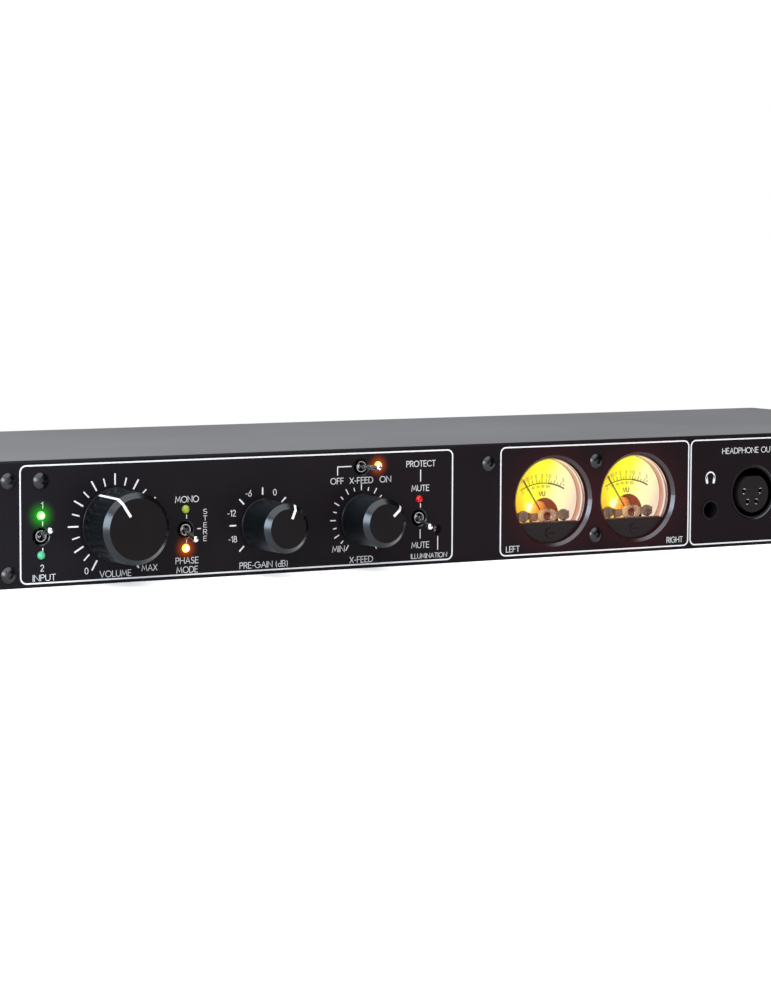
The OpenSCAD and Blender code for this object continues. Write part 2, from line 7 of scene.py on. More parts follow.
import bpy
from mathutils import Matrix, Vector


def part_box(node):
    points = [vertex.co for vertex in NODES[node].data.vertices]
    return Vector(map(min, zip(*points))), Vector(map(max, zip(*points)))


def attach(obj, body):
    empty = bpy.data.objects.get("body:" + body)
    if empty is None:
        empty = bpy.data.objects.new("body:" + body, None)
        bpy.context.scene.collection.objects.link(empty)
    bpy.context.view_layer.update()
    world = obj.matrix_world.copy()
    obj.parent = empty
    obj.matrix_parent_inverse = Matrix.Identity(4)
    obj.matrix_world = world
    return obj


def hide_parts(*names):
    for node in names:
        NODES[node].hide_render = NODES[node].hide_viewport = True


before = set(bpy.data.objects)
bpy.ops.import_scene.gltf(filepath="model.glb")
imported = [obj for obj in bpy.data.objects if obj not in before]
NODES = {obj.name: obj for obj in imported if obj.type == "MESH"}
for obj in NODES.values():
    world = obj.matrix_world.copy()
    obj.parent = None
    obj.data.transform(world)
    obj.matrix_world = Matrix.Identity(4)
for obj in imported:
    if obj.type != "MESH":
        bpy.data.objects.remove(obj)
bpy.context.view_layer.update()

import math

import bmesh
import bpy
from mathutils import Matrix, Vector

MM = 0.001
INK = 0.05  # height of printing above what it is printed on


def corners(node):
    """Lowest and highest corner of a CAD node."""
    low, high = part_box(node)
    return low / MM, high / MM


def middle(node):
    low, high = corners(node)
    return (low + high) / 2


FRONT = corners("front_panel")[0].y
REAR = corners("rear_panel")[1].y
PANEL_TOP = corners("front_panel")[1].z
BASE = corners("front_panel")[0].z
VOLUME, PREGAIN, CROSSFEED = (middle(f"{name}_knob") for name in ("volume", "pregain", "crossfeed"))
LED_FLANGE_R = 1.9
AMBER_LOW, AMBER_HIGH = corners("amber_leds")
LAMPS = {
    "input_1": middle("input_1_led"),
    "phase": Vector((AMBER_LOW.x + LED_FLANGE_R, FRONT, AMBER_LOW.z + LED_FLANGE_R)),
    "crossfeed": Vector((AMBER_HIGH.x - LED_FLANGE_R, FRONT, AMBER_HIGH.z - LED_FLANGE_R)),
}
ZERO_DROP = 12.3  # zero adjuster below the meter's centre
PIVOT_DROP = 6.15  # needle pivot below the meter's centre
METERS = {
    side: middle(f"{side}_zero_screw") + Vector((0, 0, ZERO_DROP)) for side in ("left", "right")
}
DIAL_Y = corners("meter_dials")[0].y
LENS_FRONT = corners("meter_lenses")[0].y
LENS_R = 16.0
LENS_INNER_R = 15.7
MASK_EDGE = -8.4  # straight edge of the black mask, from the meter's centre


# ---------------------------------------------------------------- meshes


def on_front(x, z, lift):
    """A point on the front face of the panel."""
    return Vector((x, FRONT - lift, z))


def on_rear(x, z, lift):
    """A point on the rear panel: x grows to the right as seen from behind."""
    return Vector((-x, REAR + lift, z))


def on_dial(side):
    """Points on a meter's dial, from the meter's centre."""
    centre = METERS[side]
    return lambda x, z, lift: Vector((centre.x + x, DIAL_Y - lift, centre.z + z))


def arc(x, z, rx, rz, start, end, step=15):
    """Points on an ellipse between two angles in degrees, counted anticlockwise from the right."""
    count = max(2, round(abs(end - start) / step))
    angles = [math.radians(start + (end - start) * i / count) for i in range(count + 1)]
    return [(x + rx * math.cos(a), z + rz * math.sin(a)) for a in angles]


def clock(centre, radius, degrees):
    """A point round a centre (x, z), at an angle clockwise from straight up."""
    a = math.radians(degrees)
    return centre[0] + radius * math.sin(a), centre[1] + radius * math.cos(a)


def skin(mesh, sections, closed=False):
    """Joins a row of equal sections into a closed surface."""
    rows = [[mesh.verts.new(MM * corner) for corner in section] for section in sections]
    pairs = list(zip(rows, rows[1:])) + ([(rows[-1], rows[0])] if closed else [])
    for a, b in pairs:
        for i in range(len(a)):
            j = (i + 1) % len(a)
            mesh.faces.new((a[i], a[j], b[j], b[i]))
    if not closed:
        mesh.faces.new(rows[0][::-1])
        mesh.faces.new(rows[-1])


def stroke(mesh, path, width, place, closed=False):
    """A line of ink along a path of (x, z) points, with round ends."""
    points = [Vector(p) for p in path]
    last = len(points) - 1
    half = width / 2
    sections = []

    def add(point, side, reach):
        left, right = point - side * reach, point + side * reach
        sections.append([place(*left, 0), place(*right, 0), place(*right, INK), place(*left, INK)])

    for i, point in enumerate(points):
        into = (point - points[i - 1]).normalized() if i or closed else None
        out = (points[(i + 1) % len(points)] - point).normalized() if i < last or closed else None
        into, out = into or out, out or into
        along = (into + out).normalized()
        side = Vector((along.y, -along.x))
        mitre = 1 / max(0.6, along.dot(out))
        end = None if closed else {0: -1, last: 1}.get(i)
        caps = [math.radians(a) for a in (25, 50, 75)]
        if end == -1:
            for a in reversed(caps):
                add(point - along * half * math.sin(a), side, half * math.cos(a))
        add(point, side, half * mitre)
        if end == 1:
            for a in caps:
                add(point + along * half * math.sin(a), side, half * math.cos(a))
    skin(mesh, sections, closed)


def turned(mesh, profile, centre, segments=64, start=0, sweep=360):
    """Turns a closed profile of (radius, y) points round a line along Y through a centre (x, z)."""
    closed = sweep == 360
    count = segments if closed else segments + 1
    sections = []
    for i in range(count):
        a = math.radians(start + sweep * i / segments)
        sections.append(
            [Vector((centre[0] + r * math.cos(a), y, centre[1] + r * math.sin(a))) for r, y in profile]
        )
    skin(mesh, sections, closed)


def prism(mesh, outline, place, thickness):
    """A flat plate with an outline of (x, z) points, standing on place's surface."""
    skin(mesh, [[place(x, z, lift) for x, z in outline] for lift in (0, thickness)])


def piece(name, draw, material, body="root", slot=None, smooth=None, origin=(0, 0, 0)):
    """Makes a piece: draw fills a bmesh in millimetres, and the piece rides on a CAD body."""
    mesh = bmesh.new()
    draw(mesh)
    bmesh.ops.recalc_face_normals(mesh, faces=mesh.faces)
    data = bpy.data.meshes.new(name)
    mesh.to_mesh(data)
    mesh.free()
    data.transform(Matrix.Translation(-MM * Vector(origin)))
    made = bpy.data.objects.new(name, data)
    made.location = MM * Vector(origin)
    bpy.context.scene.collection.objects.link(made)
    data.materials.append(material)
    if smooth is not None:
        data.shade_smooth()
        data.set_sharp_from_angle(angle=math.radians(smooth))
    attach(made, body)
    return made


# ---------------------------------------------------------------- lettering


BOWL = arc(0.3, 0.75, 0.26, 0.25, 90, -90)
GLYPHS = {  # width, then strokes, for a capital one unit high
    " ": (0.3, []),
    "-": (0.3, [[(0, 0.42), (0.3, 0.42)]]),
    "+": (0.5, [[(0, 0.45), (0.5, 0.45)], [(0.25, 0.2), (0.25, 0.7)]]),
    "(": (0.2, [arc(0.3, 0.45, 0.3, 0.65, 130, 230)]),
    ")": (0.2, [arc(-0.1, 0.45, 0.3, 0.65, 50, -50)]),
    "A": (0.8, [[(0, 0), (0.4, 1), (0.8, 0)], [(0.14, 0.34), (0.66, 0.34)]]),
    "B": (0.58, [[(0, 0), (0, 1), *BOWL, (0, 0.5)], [*arc(0.3, 0.25, 0.28, 0.25, 90, -90), (0, 0)]]),
    "C": (0.85, [arc(0.5, 0.5, 0.5, 0.5, 45, 315)]),
    "D": (0.78, [[(0, 0), (0, 1), *arc(0.28, 0.5, 0.5, 0.5, 90, -90), (0, 0)]]),
    "E": (0.52, [[(0.52, 1), (0, 1), (0, 0), (0.52, 0)], [(0, 0.52), (0.46, 0.52)]]),
    "F": (0.5, [[(0.5, 1), (0, 1), (0, 0)], [(0, 0.5), (0.44, 0.5)]]),
    "G": (0.98, [[*arc(0.5, 0.5, 0.5, 0.5, 45, 360), (0.6, 0.5)]]),
    "H": (0.74, [[(0, 0), (0, 1)], [(0.74, 0), (0.74, 1)], [(0, 0.52), (0.74, 0.52)]]),
    "I": (0.02, [[(0.01, 0), (0.01, 1)]]),
    "L": (0.48, [[(0, 1), (0, 0), (0.48, 0)]]),
    "M": (0.95, [[(0, 0), (0.14, 1), (0.475, 0.2), (0.81, 1), (0.95, 0)]]),
    "N": (0.78, [[(0, 0), (0, 1), (0.78, 0), (0.78, 1)]]),
    "O": (1.0, [arc(0.5, 0.5, 0.5, 0.5, 0, 345)]),
    "P": (0.56, [[(0, 0), (0, 1), *BOWL, (0, 0.5)]]),
    "R": (0.6, [[(0, 0), (0, 1), *BOWL, (0, 0.5)], [(0.26, 0.5), (0.6, 0)]]),
    "S": (0.52, [[*arc(0.26, 0.745, 0.23, 0.255, 35, 270), *arc(0.25, 0.235, 0.26, 0.255, 75, -150)]]),
    "T": (0.64, [[(0, 1), (0.64, 1)], [(0.32, 1), (0.32, 0)]]),
    "U": (0.72, [[(0, 1), *arc(0.36, 0.36, 0.36, 0.36, 180, 360), (0.72, 1)]]),
    "V": (0.78, [[(0, 1), (0.39, 0), (0.78, 1)]]),
    "W": (1.2, [[(0, 1), (0.3, 0), (0.6, 0.9), (0.9, 0), (1.2, 1)]]),
    "X": (0.68, [[(0, 0), (0.68, 1)], [(0, 1), (0.68, 0)]]),
    "d": (0.54, [[(0.54, 1.05), (0.54, 0)], arc(0.27, 0.27, 0.27, 0.27, 0, 345)]),
    "0": (0.58, [arc(0.29, 0.5, 0.29, 0.5, 0, 345)]),
    "1": (0.24, [[(0, 0.8), (0.24, 1), (0.24, 0)]]),
    "2": (0.56, [[*arc(0.27, 0.73, 0.25, 0.27, 165, -40), (0.0, 0), (0.56, 0)]]),
    "3": (0.52, [arc(0.25, 0.75, 0.22, 0.25, 150, -90) + arc(0.25, 0.25, 0.27, 0.25, 90, -150)]),
    "4": (0.6, [[(0.46, 0), (0.46, 1), (0, 0.26), (0.6, 0.26)]]),
    "5": (0.5, [[(0.46, 1), (0.1, 1), (0.05, 0.58), *arc(0.22, 0.3, 0.28, 0.3, 100, -150)]]),
    "6": (0.56, [[(0.44, 1), (0.04, 0.42)], arc(0.28, 0.29, 0.28, 0.29, 0, 345)]),
    "7": (0.54, [[(0, 1), (0.54, 1), (0.14, 0)]]),
    "8": (0.56, [arc(0.28, 0.75, 0.22, 0.24, 0, 345), arc(0.28, 0.26, 0.28, 0.26, 0, 345)]),
}
ROUND = "O0"  # glyphs whose whole stroke is one closed loop
LETTER_GAP = 0.2


def write(mesh, text, x, z, height, place, width=None, weight=0.1):
    """Writes text centred on (x, z). Width, where it is given, is the whole line's."""
    natural = sum(GLYPHS[c][0] for c in text) + LETTER_GAP * (len(text) - 1)
    across = (width or natural * height) / natural
    start = x - natural * across / 2
    for character in text:
        glyph_width, strokes = GLYPHS[character]
        for path in strokes:
            points = [(start + across * px, z + height * (pz - 0.5)) for px, pz in path]
            loop = character in ROUND or (character in "68d" and len(path) > 8)
            stroke(mesh, points, weight * height, place, loop)
        start += (glyph_width + LETTER_GAP) * across


# ---------------------------------------------------------------- finishes


class Finish:
    """A material's node tree. Sizes in it are in millimetres of the piece's own frame."""

    def __init__(self, name, colour, roughness, metallic=0.0, **sockets):
        self.material = bpy.data.materials.new(name)
        self.material.use_nodes = True
        self.tree = self.material.node_tree
        self.surface = self.tree.nodes["Principled BSDF"]
        self.colour, self.roughness = Vector(colour), roughness
        constants = {key.replace("_", " "): value for key, value in sockets.items()}
        self.set(self.surface, {"Base Color": (*colour, 1), "Roughness": roughness,
                                "Metallic": metallic, **constants})

    def set(self, node, inputs):
        for key, value in inputs.items():
            if isinstance(value, bpy.types.NodeSocket):
                self.tree.links.new(value, node.inputs[key])
            else:
                node.inputs[key].default_value = value

    def add(self, kind, inputs=None, **settings):
        node = self.tree.nodes.new("ShaderNode" + kind)
        for key, value in settings.items():
            setattr(node, key, value)
        self.set(node, inputs or {})
        return node

    def math(self, operation, *values):
        return self.add("Math", dict(enumerate(values)), operation=operation).outputs[0]

    def vector(self, operation, *values):
        return self.add("VectorMath", dict(enumerate(values)), operation=operation).outputs[0]

    def place(self, centre=(0, 0, 0), stretch=(1, 1, 1)):
        """Millimetres from a centre, multiplied along each axis."""
        here = self.add("TexCoord").outputs["Object"]
        shifted = self.vector("SUBTRACT", here, MM * Vector(centre))
        return self.vector("MULTIPLY", shifted, Vector(stretch) / MM)

    def noise(self, scale, detail=3.0, stretch=(1, 1, 1)):
        inputs = {"Vector": self.place(stretch=stretch), "Scale": scale, "Detail": detail}
        return self.add("TexNoise", inputs).outputs["Fac"]

    def spread(self, value, low, high, start=0.0, end=1.0):
        inputs = {"Value": value, "From Min": start, "From Max": end, "To Min": low, "To Max": high}
        return self.add("MapRange", inputs).outputs["Result"]

    def ramp(self, value, stops):
        """A colour that passes through (position, colour) stops."""
        node = self.add("ValToRGB", {"Fac": value})
        elements = node.color_ramp.elements
        while len(elements) < len(stops):
            elements.new(0.5)
        for element, (position, colour) in zip(elements, stops):
            element.position, element.color = position, (*colour, 1)
        return node.outputs["Color"]

    def mix(self, share, a, b, blend="MIX"):
        node = self.add("Mix", data_type="RGBA", blend_type=blend)
        for socket, value in ((0, share), (6, a), (7, b)):
            if not isinstance(value, (bpy.types.NodeSocket, float, int)):
                value = (*value, 1)
            self.set(node, {socket: value})
        return node.outputs[2]

    def vary(self, amount=0.1, scale=0.08, detail=4.0, rough=0.06, stretch=(1, 1, 1)):
        """Soft unevenness of colour and gloss, as handling and light wear leave."""
        patch = self.spread(self.noise(scale, detail, stretch), 0, 1, 0.3, 0.7)
        self.shade = self.mix(patch, self.colour * (1 - amount), self.colour * (1 + amount))
        self.gloss = self.spread(patch, self.roughness - rough, self.roughness + rough)
        self.set(self.surface, {"Base Color": self.shade, "Roughness": self.gloss})
        return self

    def grain(self, scale, relief, stretch=(1, 1, 1), detail=2.0):
        """Fine relief, given in millimetres."""
        inputs = {"Height": self.noise(scale, detail, stretch), "Distance": relief * MM, "Strength": 1.0}
        self.set(self.surface, {"Normal": self.add("Bump", inputs).outputs["Normal"]})
        return self

    def glow(self, colour, strength):
        if not isinstance(colour, bpy.types.NodeSocket):
            colour = (*colour, 1)
        self.set(self.surface, {"Emission Color": colour, "Emission Strength": strength})
        return self

    def slope(self):
        """The size of the true normal's part along Y, 1 on faces seen straight from the front."""
        normal = self.add("NewGeometry").outputs["True Normal"]
        return self.math("ABSOLUTE", self.add("SeparateXYZ", {0: normal}).outputs["Y"])

    def bevel_faces(self):
        """1 on the faces that lean 45 degrees to the front, 0 elsewhere."""
        return self.math("COMPARE", self.slope(), 0.7071, 0.15)

    def away(self, centre):
        """Distance from a centre, seen from the front."""
        flat = self.place(centre, (1, 0, 1))
        return self.add("VectorMath", {0: flat}, operation="LENGTH").outputs["Value"]

    def along(self, axis):
        """Millimetres along an axis of the piece's own frame."""
        return self.add("SeparateXYZ", {0: self.place()}).outputs[axis]

    def falloff(self, centre, inner, outer, power=2.5):
        """1 inside the inner radius round a centre, falling to 0 at the outer one."""
        return self.math("POWER", self.spread(self.away(centre), 1, 0, inner, outer), power)

    def halo(self, centre, colour, inner, outer):
        """Painted light spilling round a point."""
        return self.mix(self.falloff(centre, inner, outer), (0, 0, 0), colour)


def plastic(name, colour, roughness=0.4, relief=0.006, level=0.5):
    finish = Finish(name, colour, roughness, Specular_IOR_Level=level).vary(0.12, 0.15)
    return finish.grain(6.0, relief).material


def plated(name, colour, roughness=0.16, relief=0.002):
    finish = Finish(name, colour, roughness, 1.0).vary(0.08, 0.5, rough=0.05)
    return finish.grain(3.0, relief).material


def brushed(name, colour, roughness=0.3, stretch=(0.05, 1, 1)):
    finish = Finish(name, colour, roughness, 1.0).vary(0.1, 2.0, stretch=stretch)
    return finish.grain(6.0, 0.004, stretch).material


def painted_steel():
    """Satin grey paint with a fine orange-peel texture."""
    finish = Finish("casing_paint", (0.135, 0.1365, 0.143), 0.5, Specular_IOR_Level=0.3)
    return finish.vary(0.035, 0.012, rough=0.05).grain(1.6, 0.012, detail=3.0).material


SPILL_FROM = 1.2  # radius round a lamp where its light on the panel starts to fall off
GREEN_SPILL, GREEN_REACH = (0.012, 0.42, 0.0), 6.4
AMBER_SPILL, AMBER_REACH = (0.5, 0.06, 0.0), 5.4
METER_SPILL, METER_REACH = (0.022, 0.0012, 0.0012), 34
CUT_METAL = (0.043, 0.046, 0.05)
POLISH = 0.12  # how much smoother a turned bevel is than what surrounds it
PANEL_METER_TINT = (-230, 40)  # x over which a painted warm cast of the meters' light comes onto the black coat


def panel_coat():
    """Fine black coat with bright hole bevels, a painted warm cast of the meters' light to the right,
    and painted light spilling round lamps and meters.
    """
    finish = Finish("panel_coat", (0.0072, 0.0063, 0.0078), 0.44, Specular_IOR_Level=0.05)
    finish.vary(0.1, 0.03, rough=0.04).grain(4.0, 0.006)
    # Painted warm cast of the meters' light on the coat, growing to the right.
    meter_tint = finish.spread(finish.along("X"), 0, 1, *PANEL_METER_TINT)
    coat = finish.mix(meter_tint, finish.shade, (0.0058, 0.0034, 0.0045))
    cut = finish.math("MULTIPLY", finish.bevel_faces(), away_from_edges(finish))
    finish.set(finish.surface, {
        "Base Color": finish.mix(cut, coat, CUT_METAL),
        "Metallic": cut,
        "Roughness": finish.math("SUBTRACT", finish.gloss, finish.math("MULTIPLY", cut, POLISH)),
    })
    # Painted light of the lamps and meters spilling onto the panel, as glow.
    spill = finish.halo(LAMPS["input_1"], GREEN_SPILL, SPILL_FROM, GREEN_REACH)
    for lamp in ("phase", "crossfeed"):
        amber = finish.halo(LAMPS[lamp], AMBER_SPILL, SPILL_FROM, AMBER_REACH)
        spill = finish.mix(1.0, spill, amber, "ADD")
    for centre in METERS.values():
        red = finish.halo(centre, METER_SPILL, LENS_R - 1, METER_REACH)
        spill = finish.mix(1.0, spill, red, "ADD")
    return finish.glow(spill, 1.0).material


def away_from_edges(finish):
    """1 well inside the panel's height, 0 at its top and bottom edges."""
    height = finish.math("ABSOLUTE", finish.along("Z"))
    return finish.math("LESS_THAN", height, PANEL_TOP - 0.6)


KNOB_FOOT_DEPTH = 8.0  # the foot ring's edge lies within this distance of the panel
KNOB_SIDE = (0.02, 0.0245, 0.031)
KNOB_BEVEL_METAL = (0.027, 0.0295, 0.0325)


def knob_finish():
    """Satin black: a matt face, sides with a faint metallic sheen, and a bright turned bevel."""
    finish = Finish("knob_satin", (0.0038, 0.0028, 0.0032), 0.36, Specular_IOR_Level=0.08)
    finish.vary(0.15, 0.12).grain(7.0, 0.004)
    near_face = finish.math("LESS_THAN", finish.along("Y"), FRONT - KNOB_FOOT_DEPTH)
    bevel = finish.math("MULTIPLY", finish.bevel_faces(), near_face)
    side = finish.math("LESS_THAN", finish.slope(), 0.4)
    gloss = finish.math("SUBTRACT", finish.gloss, finish.math("MULTIPLY", bevel, POLISH))
    gloss = finish.math("ADD", gloss, finish.math("MULTIPLY", side, 0.1))
    shade = finish.mix(side, finish.shade, KNOB_SIDE)
    shade = finish.mix(bevel, shade, KNOB_BEVEL_METAL)
    metal = finish.math("MAXIMUM", bevel, side)
    finish.set(finish.surface, {"Roughness": gloss, "Base Color": shade, "Metallic": metal})
    return finish.material


LAMP_CORE_R = 1.5  # the radius over which a lit lamp goes from white to its own colour
LAMP_STRENGTH = 2.2
LIT_GREEN = [
    (0.0, (1.0, 1.0, 0.75)), (0.55, (0.75, 1.0, 0.45)), (0.8, (0.12, 0.95, 0.05)),
    (1.0, (0.02, 0.5, 0.01)),
]
LIT_AMBER = [
    (0.0, (1.0, 1.0, 0.75)), (0.7, (1.0, 0.9, 0.3)), (0.95, (1.0, 0.62, 0.03)),
    (1.0, (0.8, 0.35, 0.0)),
]
LIT_WHITE = [(0, (0.9, 0.95, 1.0)), (1, (0.4, 0.5, 0.75))]


def lamp_finish(name, colour, lit=None, centre=None, strength=0.0):
    """A moulded lamp. A lit one is nearly white in the middle and coloured at its rim."""
    finish = Finish(name, colour, 0.2, Specular_IOR_Level=0.25)
    finish.vary(0.1, 0.6, rough=0.03)
    if lit:
        share = finish.spread(finish.away(centre), 0, 1, 0, LAMP_CORE_R)
        finish.glow(finish.ramp(share, lit), strength)
    return finish.material


# ---------------------------------------------------------------- finish of every CAD node


def pair_of_amber():
    """Both amber lamps are one node, so each has its own centre."""
    finish = Finish("lamp_amber", (0.5, 0.2, 0.02), 0.2, Specular_IOR_Level=0.25)
    finish.vary(0.1, 0.6, rough=0.03)
    away = [finish.away(LAMPS[lamp]) for lamp in ("phase", "crossfeed")]
    share = finish.spread(finish.math("MINIMUM", *away), 0, 1, 0, LAMP_CORE_R)
    return finish.glow(finish.ramp(share, LIT_AMBER), LAMP_STRENGTH).material


def lamp_lit_screw():
    """Nickel, tinted amber and glowing with painted light of the meter's lamp."""
    finish = Finish("dial_screw_painted_lamp_light", (0.13, 0.085, 0.06), 0.2, 0.95)
    return finish.vary(0.2, 0.9).grain(1.5, 0.03).glow((0.03, 0.012, 0.008), 1.0).material


def board_finish():
    """Green solder mask over copper tracks that run in straight lines."""
    finish = Finish("board_mask", (0.012, 0.085, 0.035), 0.32)
    brick = finish.add("TexBrick", {
        "Vector": finish.place(), "Color1": (0.015, 0.11, 0.045, 1), "Color2": (0.02, 0.13, 0.055, 1),
        "Mortar": (0.01, 0.07, 0.03, 1), "Scale": 0.22, "Mortar Size": 0.03,
    })
    finish.set(finish.surface, {"Base Color": brick.outputs["Color"]})
    return finish.grain(2.0, 0.006).material


TAPE_TURNS = 46.0
RIBBON_PITCH = 1.27


def winding_finish():
    """Yellow tape wound round the ring core, each turn overlapping the last."""
    finish = Finish("winding_tape", (0.62, 0.4, 0.08), 0.35)
    centre = middle("transformer")
    turn = finish.add("TexGradient", {"Vector": finish.place(centre)}, gradient_type="RADIAL")
    wraps = finish.math("FRACT", finish.math("MULTIPLY", turn.outputs["Fac"], TAPE_TURNS))
    finish.vary(0.12, 0.1)
    tape = finish.mix(wraps, (0.5, 0.3, 0.05), (0.72, 0.48, 0.12))
    bump = finish.add("Bump", {"Height": wraps, "Distance": 0.15 * MM, "Strength": 1.0})
    finish.set(finish.surface, {"Base Color": tape, "Normal": bump.outputs["Normal"]})
    return finish.material


def ribbon_finish():
    """Grey flat cable: round cores side by side across its width."""
    finish = Finish("ribbon_grey", (0.42, 0.42, 0.44), 0.45)
    cores = finish.math("SINE", finish.math("MULTIPLY", finish.along("X"), 2 * math.pi / RIBBON_PITCH))
    bump = finish.add("Bump", {"Height": cores, "Distance": 0.12 * MM, "Strength": 1.0})
    finish.vary(0.08, 0.4)
    finish.set(finish.surface, {"Normal": bump.outputs["Normal"]})
    return finish.material


steel = painted_steel()
black_screw = plated("screw_black", (0.035, 0.034, 0.036), 0.28)
zinc = plated("screw_zinc", (0.62, 0.63, 0.66), 0.22)
bushing_chrome = plated("bushing_chrome", (0.26, 0.26, 0.27), 0.2)
lever_chrome = plated("lever_chrome", (0.66, 0.66, 0.68), 0.26)
brass = plated("brass", (0.78, 0.5, 0.19), 0.25)
shaft_steel = brushed("shaft_steel", (0.56, 0.56, 0.58), 0.28, (1, 0.05, 1))
pot_steel = plated("pot_steel", (0.45, 0.46, 0.48), 0.3)
board = board_finish()
knob_black = knob_finish()
black_plastic = plastic("moulded_black", (0.0055, 0.0038, 0.0046), 0.36, 0.004, 0.12)
meter_black = plastic("meter_black", (0.0085, 0.0045, 0.005), 0.32, 0.003, 0.14)
meter_metal = plated("movement_steel", (0.5, 0.46, 0.42), 0.28)

FINISHES = {
    panel_coat(): ["front_panel"],
    steel: ["chassis_tray", "rear_panel", "top_cover"],
    black_screw: ["panel_screws", "case_screws"],
    zinc: ["board_screws", "transformer_clamp", "meter_bracket"],
    lamp_lit_screw(): ["dial_screws"],
    brass: ["board_spacers"],
    board: ["front_board", "main_board"],
    black_plastic: ["toggle_bodies", "power_transistors", "headphone_jacks", "xlr_inserts",
                    "mains_inlet", "fuse_drawer"],
    bushing_chrome: ["toggle_bushings"],
    lever_chrome: ["input_lever", "mode_lever", "crossfeed_lever", "mute_lever", "power_lever"],
    pot_steel: ["volume_pot", "crossfeed_pot"],
    plastic("switch_blue", (0.02, 0.1, 0.3), 0.35): ["pregain_switch"],
    shaft_steel: ["volume_shaft", "pregain_shaft", "crossfeed_shaft"],
    knob_black: ["volume_knob", "pregain_knob", "crossfeed_knob"],
    plastic("trimmer_blue", (0.03, 0.1, 0.4), 0.35): ["trimmer_body"],
    plastic("trimmer_white", (0.5, 0.48, 0.44), 0.4): ["trimmer_rotor"],
    lamp_finish("lamp_green", (0.1, 0.7, 0.1), LIT_GREEN, LAMPS["input_1"], LAMP_STRENGTH): [
        "input_1_led"],
    pair_of_amber(): ["amber_leds"],
    lamp_finish("lamp_teal", (0.055, 0.3, 0.16)): ["input_2_led"],
    lamp_finish("lamp_yellow", (0.22, 0.27, 0.03)): ["mono_led"],
    lamp_finish("lamp_red", (0.34, 0.006, 0.008)): ["mute_led"],
    lamp_finish("lamp_white", (0.6, 0.62, 0.68), LIT_WHITE, middle("power_led"), 1.6): ["power_led"],
    meter_black: ["meter_housings", "meter_masks", "left_zero_screw", "right_zero_screw"],
    meter_metal: ["meter_movements"],
    plastic("needle_dark", (0.03, 0.008, 0.004), 0.4): ["left_needle", "right_needle"],
    plated("xlr_metal", (0.018, 0.0165, 0.018), 0.3): ["xlr_shells"],
    winding_finish(): ["transformer"],
    brushed("heatsink_black", (0.03, 0.03, 0.033), 0.4, (1, 1, 0.05)): ["heatsink"],
    plastic("capacitor_sleeve", (0.02, 0.035, 0.09), 0.25): ["capacitors"],
    plastic("relay_blue", (0.05, 0.17, 0.45), 0.35): ["relays"],
    ribbon_finish(): ["ribbon_cable"],
    plated("phono_gold", (0.9, 0.62, 0.22), 0.18): ["phono_sockets"],
}
for material, names in FINISHES.items():
    for name in names:
        NODES[name].data.materials.clear()
        NODES[name].data.materials.append(material)


# ---------------------------------------------------------------- printing on the panel


def ink_finish():
    finish = Finish("white_ink", (0.52, 0.52, 0.53), 0.5, Specular_IOR_Level=0.3)
    return finish.vary(0.05, 1.2).grain(5.0, 0.004).material


white_ink = ink_finish()
BORDER_INSET = 1.5
BORDER_LINE = 0.52
BORDER_R = 2.2
SECTIONS = [(-204.4, -31.8), (-10.7, 75.2), (76.3, 136.5), (137.6, 204.4)]
CAP = 2.1
LEAD_LINE = 0.33


def draw_borders(mesh):
    """A line with rounded corners round each group of controls."""
    top, bottom = PANEL_TOP - BORDER_INSET, BASE + BORDER_INSET
    for left, right in SECTIONS:
        path = []
        turns = [(right, top, -1, -1), (left, top, 1, -1), (left, bottom, 1, 1), (right, bottom, -1, 1)]
        for quarter, (x, z, inward_x, inward_z) in enumerate(turns):
            centre = x + inward_x * BORDER_R, z + inward_z * BORDER_R
            path += arc(*centre, BORDER_R, BORDER_R, 90 * quarter, 90 * quarter + 90)
        stroke(mesh, path, BORDER_LINE, on_front, closed=True)


def draw_scales(mesh):
    """Ticks round the three knobs, clockwise from straight up."""

    def tick(knob, degrees, inner, outer, width):
        centre = knob.x, knob.z
        stroke(mesh, [clock(centre, inner, degrees), clock(centre, outer, degrees)], width, on_front)

    for step in range(21):
        degrees = -150 + 15 * step
        major = step % 2 == 0
        tick(VOLUME, degrees, 14.2, 17.7 if major else 16.7, 0.58 if major else 0.48)
        tick(CROSSFEED, degrees, 10.8, 12.75 if major else 11.9, 0.36)
    for step in range(7):
        tick(PREGAIN, -135 + 45 * step, 10.8, 13.0, 0.52)


LABELS = [  # text, x, z, width
    ("1", -196.3, 6.55, None), ("2", -196.4, -15.1, None), ("INPUT", -195.65, -18.5, 8.4),
    ("0", -179.8, -17.0, None), ("VOLUME", -168.75, -18.45, 11.9), ("MAX", -155.7, -17.05, 5.9),
    ("MONO", -141.05, 6.4, 9.1), ("PHASE", -141.05, -15.3, 8.8), ("MODE", -141.0, -18.55, 8.2),
    ("-6", -116.6, 7.5, None), ("0", -106.05, 7.5, None), ("-12", -123.4, 0.66, None),
    ("-18", -122.95, -8.65, None), ("+6", -98.8, 1.0, None), ("PRE-GAIN (dB)", -110.55, -18.3, 19.2),
    ("OFF", -80.6, 10.5, 5.3), ("X-FEED", -70.5, 10.45, 9.6), ("ON", -60.45, 10.5, 4.6),
    ("MIN", -80.0, -14.25, 5.0), ("X-FEED", -70.45, -18.5, 9.6), ("MAX", -60.2, -12.9, 5.0),
    ("PROTECT", -45.35, 15.65, 12.2), ("MUTE", -45.6, 6.65, 7.4), ("MUTE", -45.5, -14.4, 7.4),
    ("LEFT", -5.15, -17.95, 5.8), ("RIGHT", 69.0, -17.9, 7.4),
    ("HEADPHONE OUTPUT", 106.4, 15.75, 30.2), ("POWER", 170.3, -15.1, None), ("ON", 170.3, 7.0, None),
]
STEREO_X, STEREO_TOP, STEREO_STEP, STEREO_CAP = -133.9, 1.8, 2.4, 1.65
STEREO_W = (1.45, 1.5, 1.2, 1.4, 1.2)


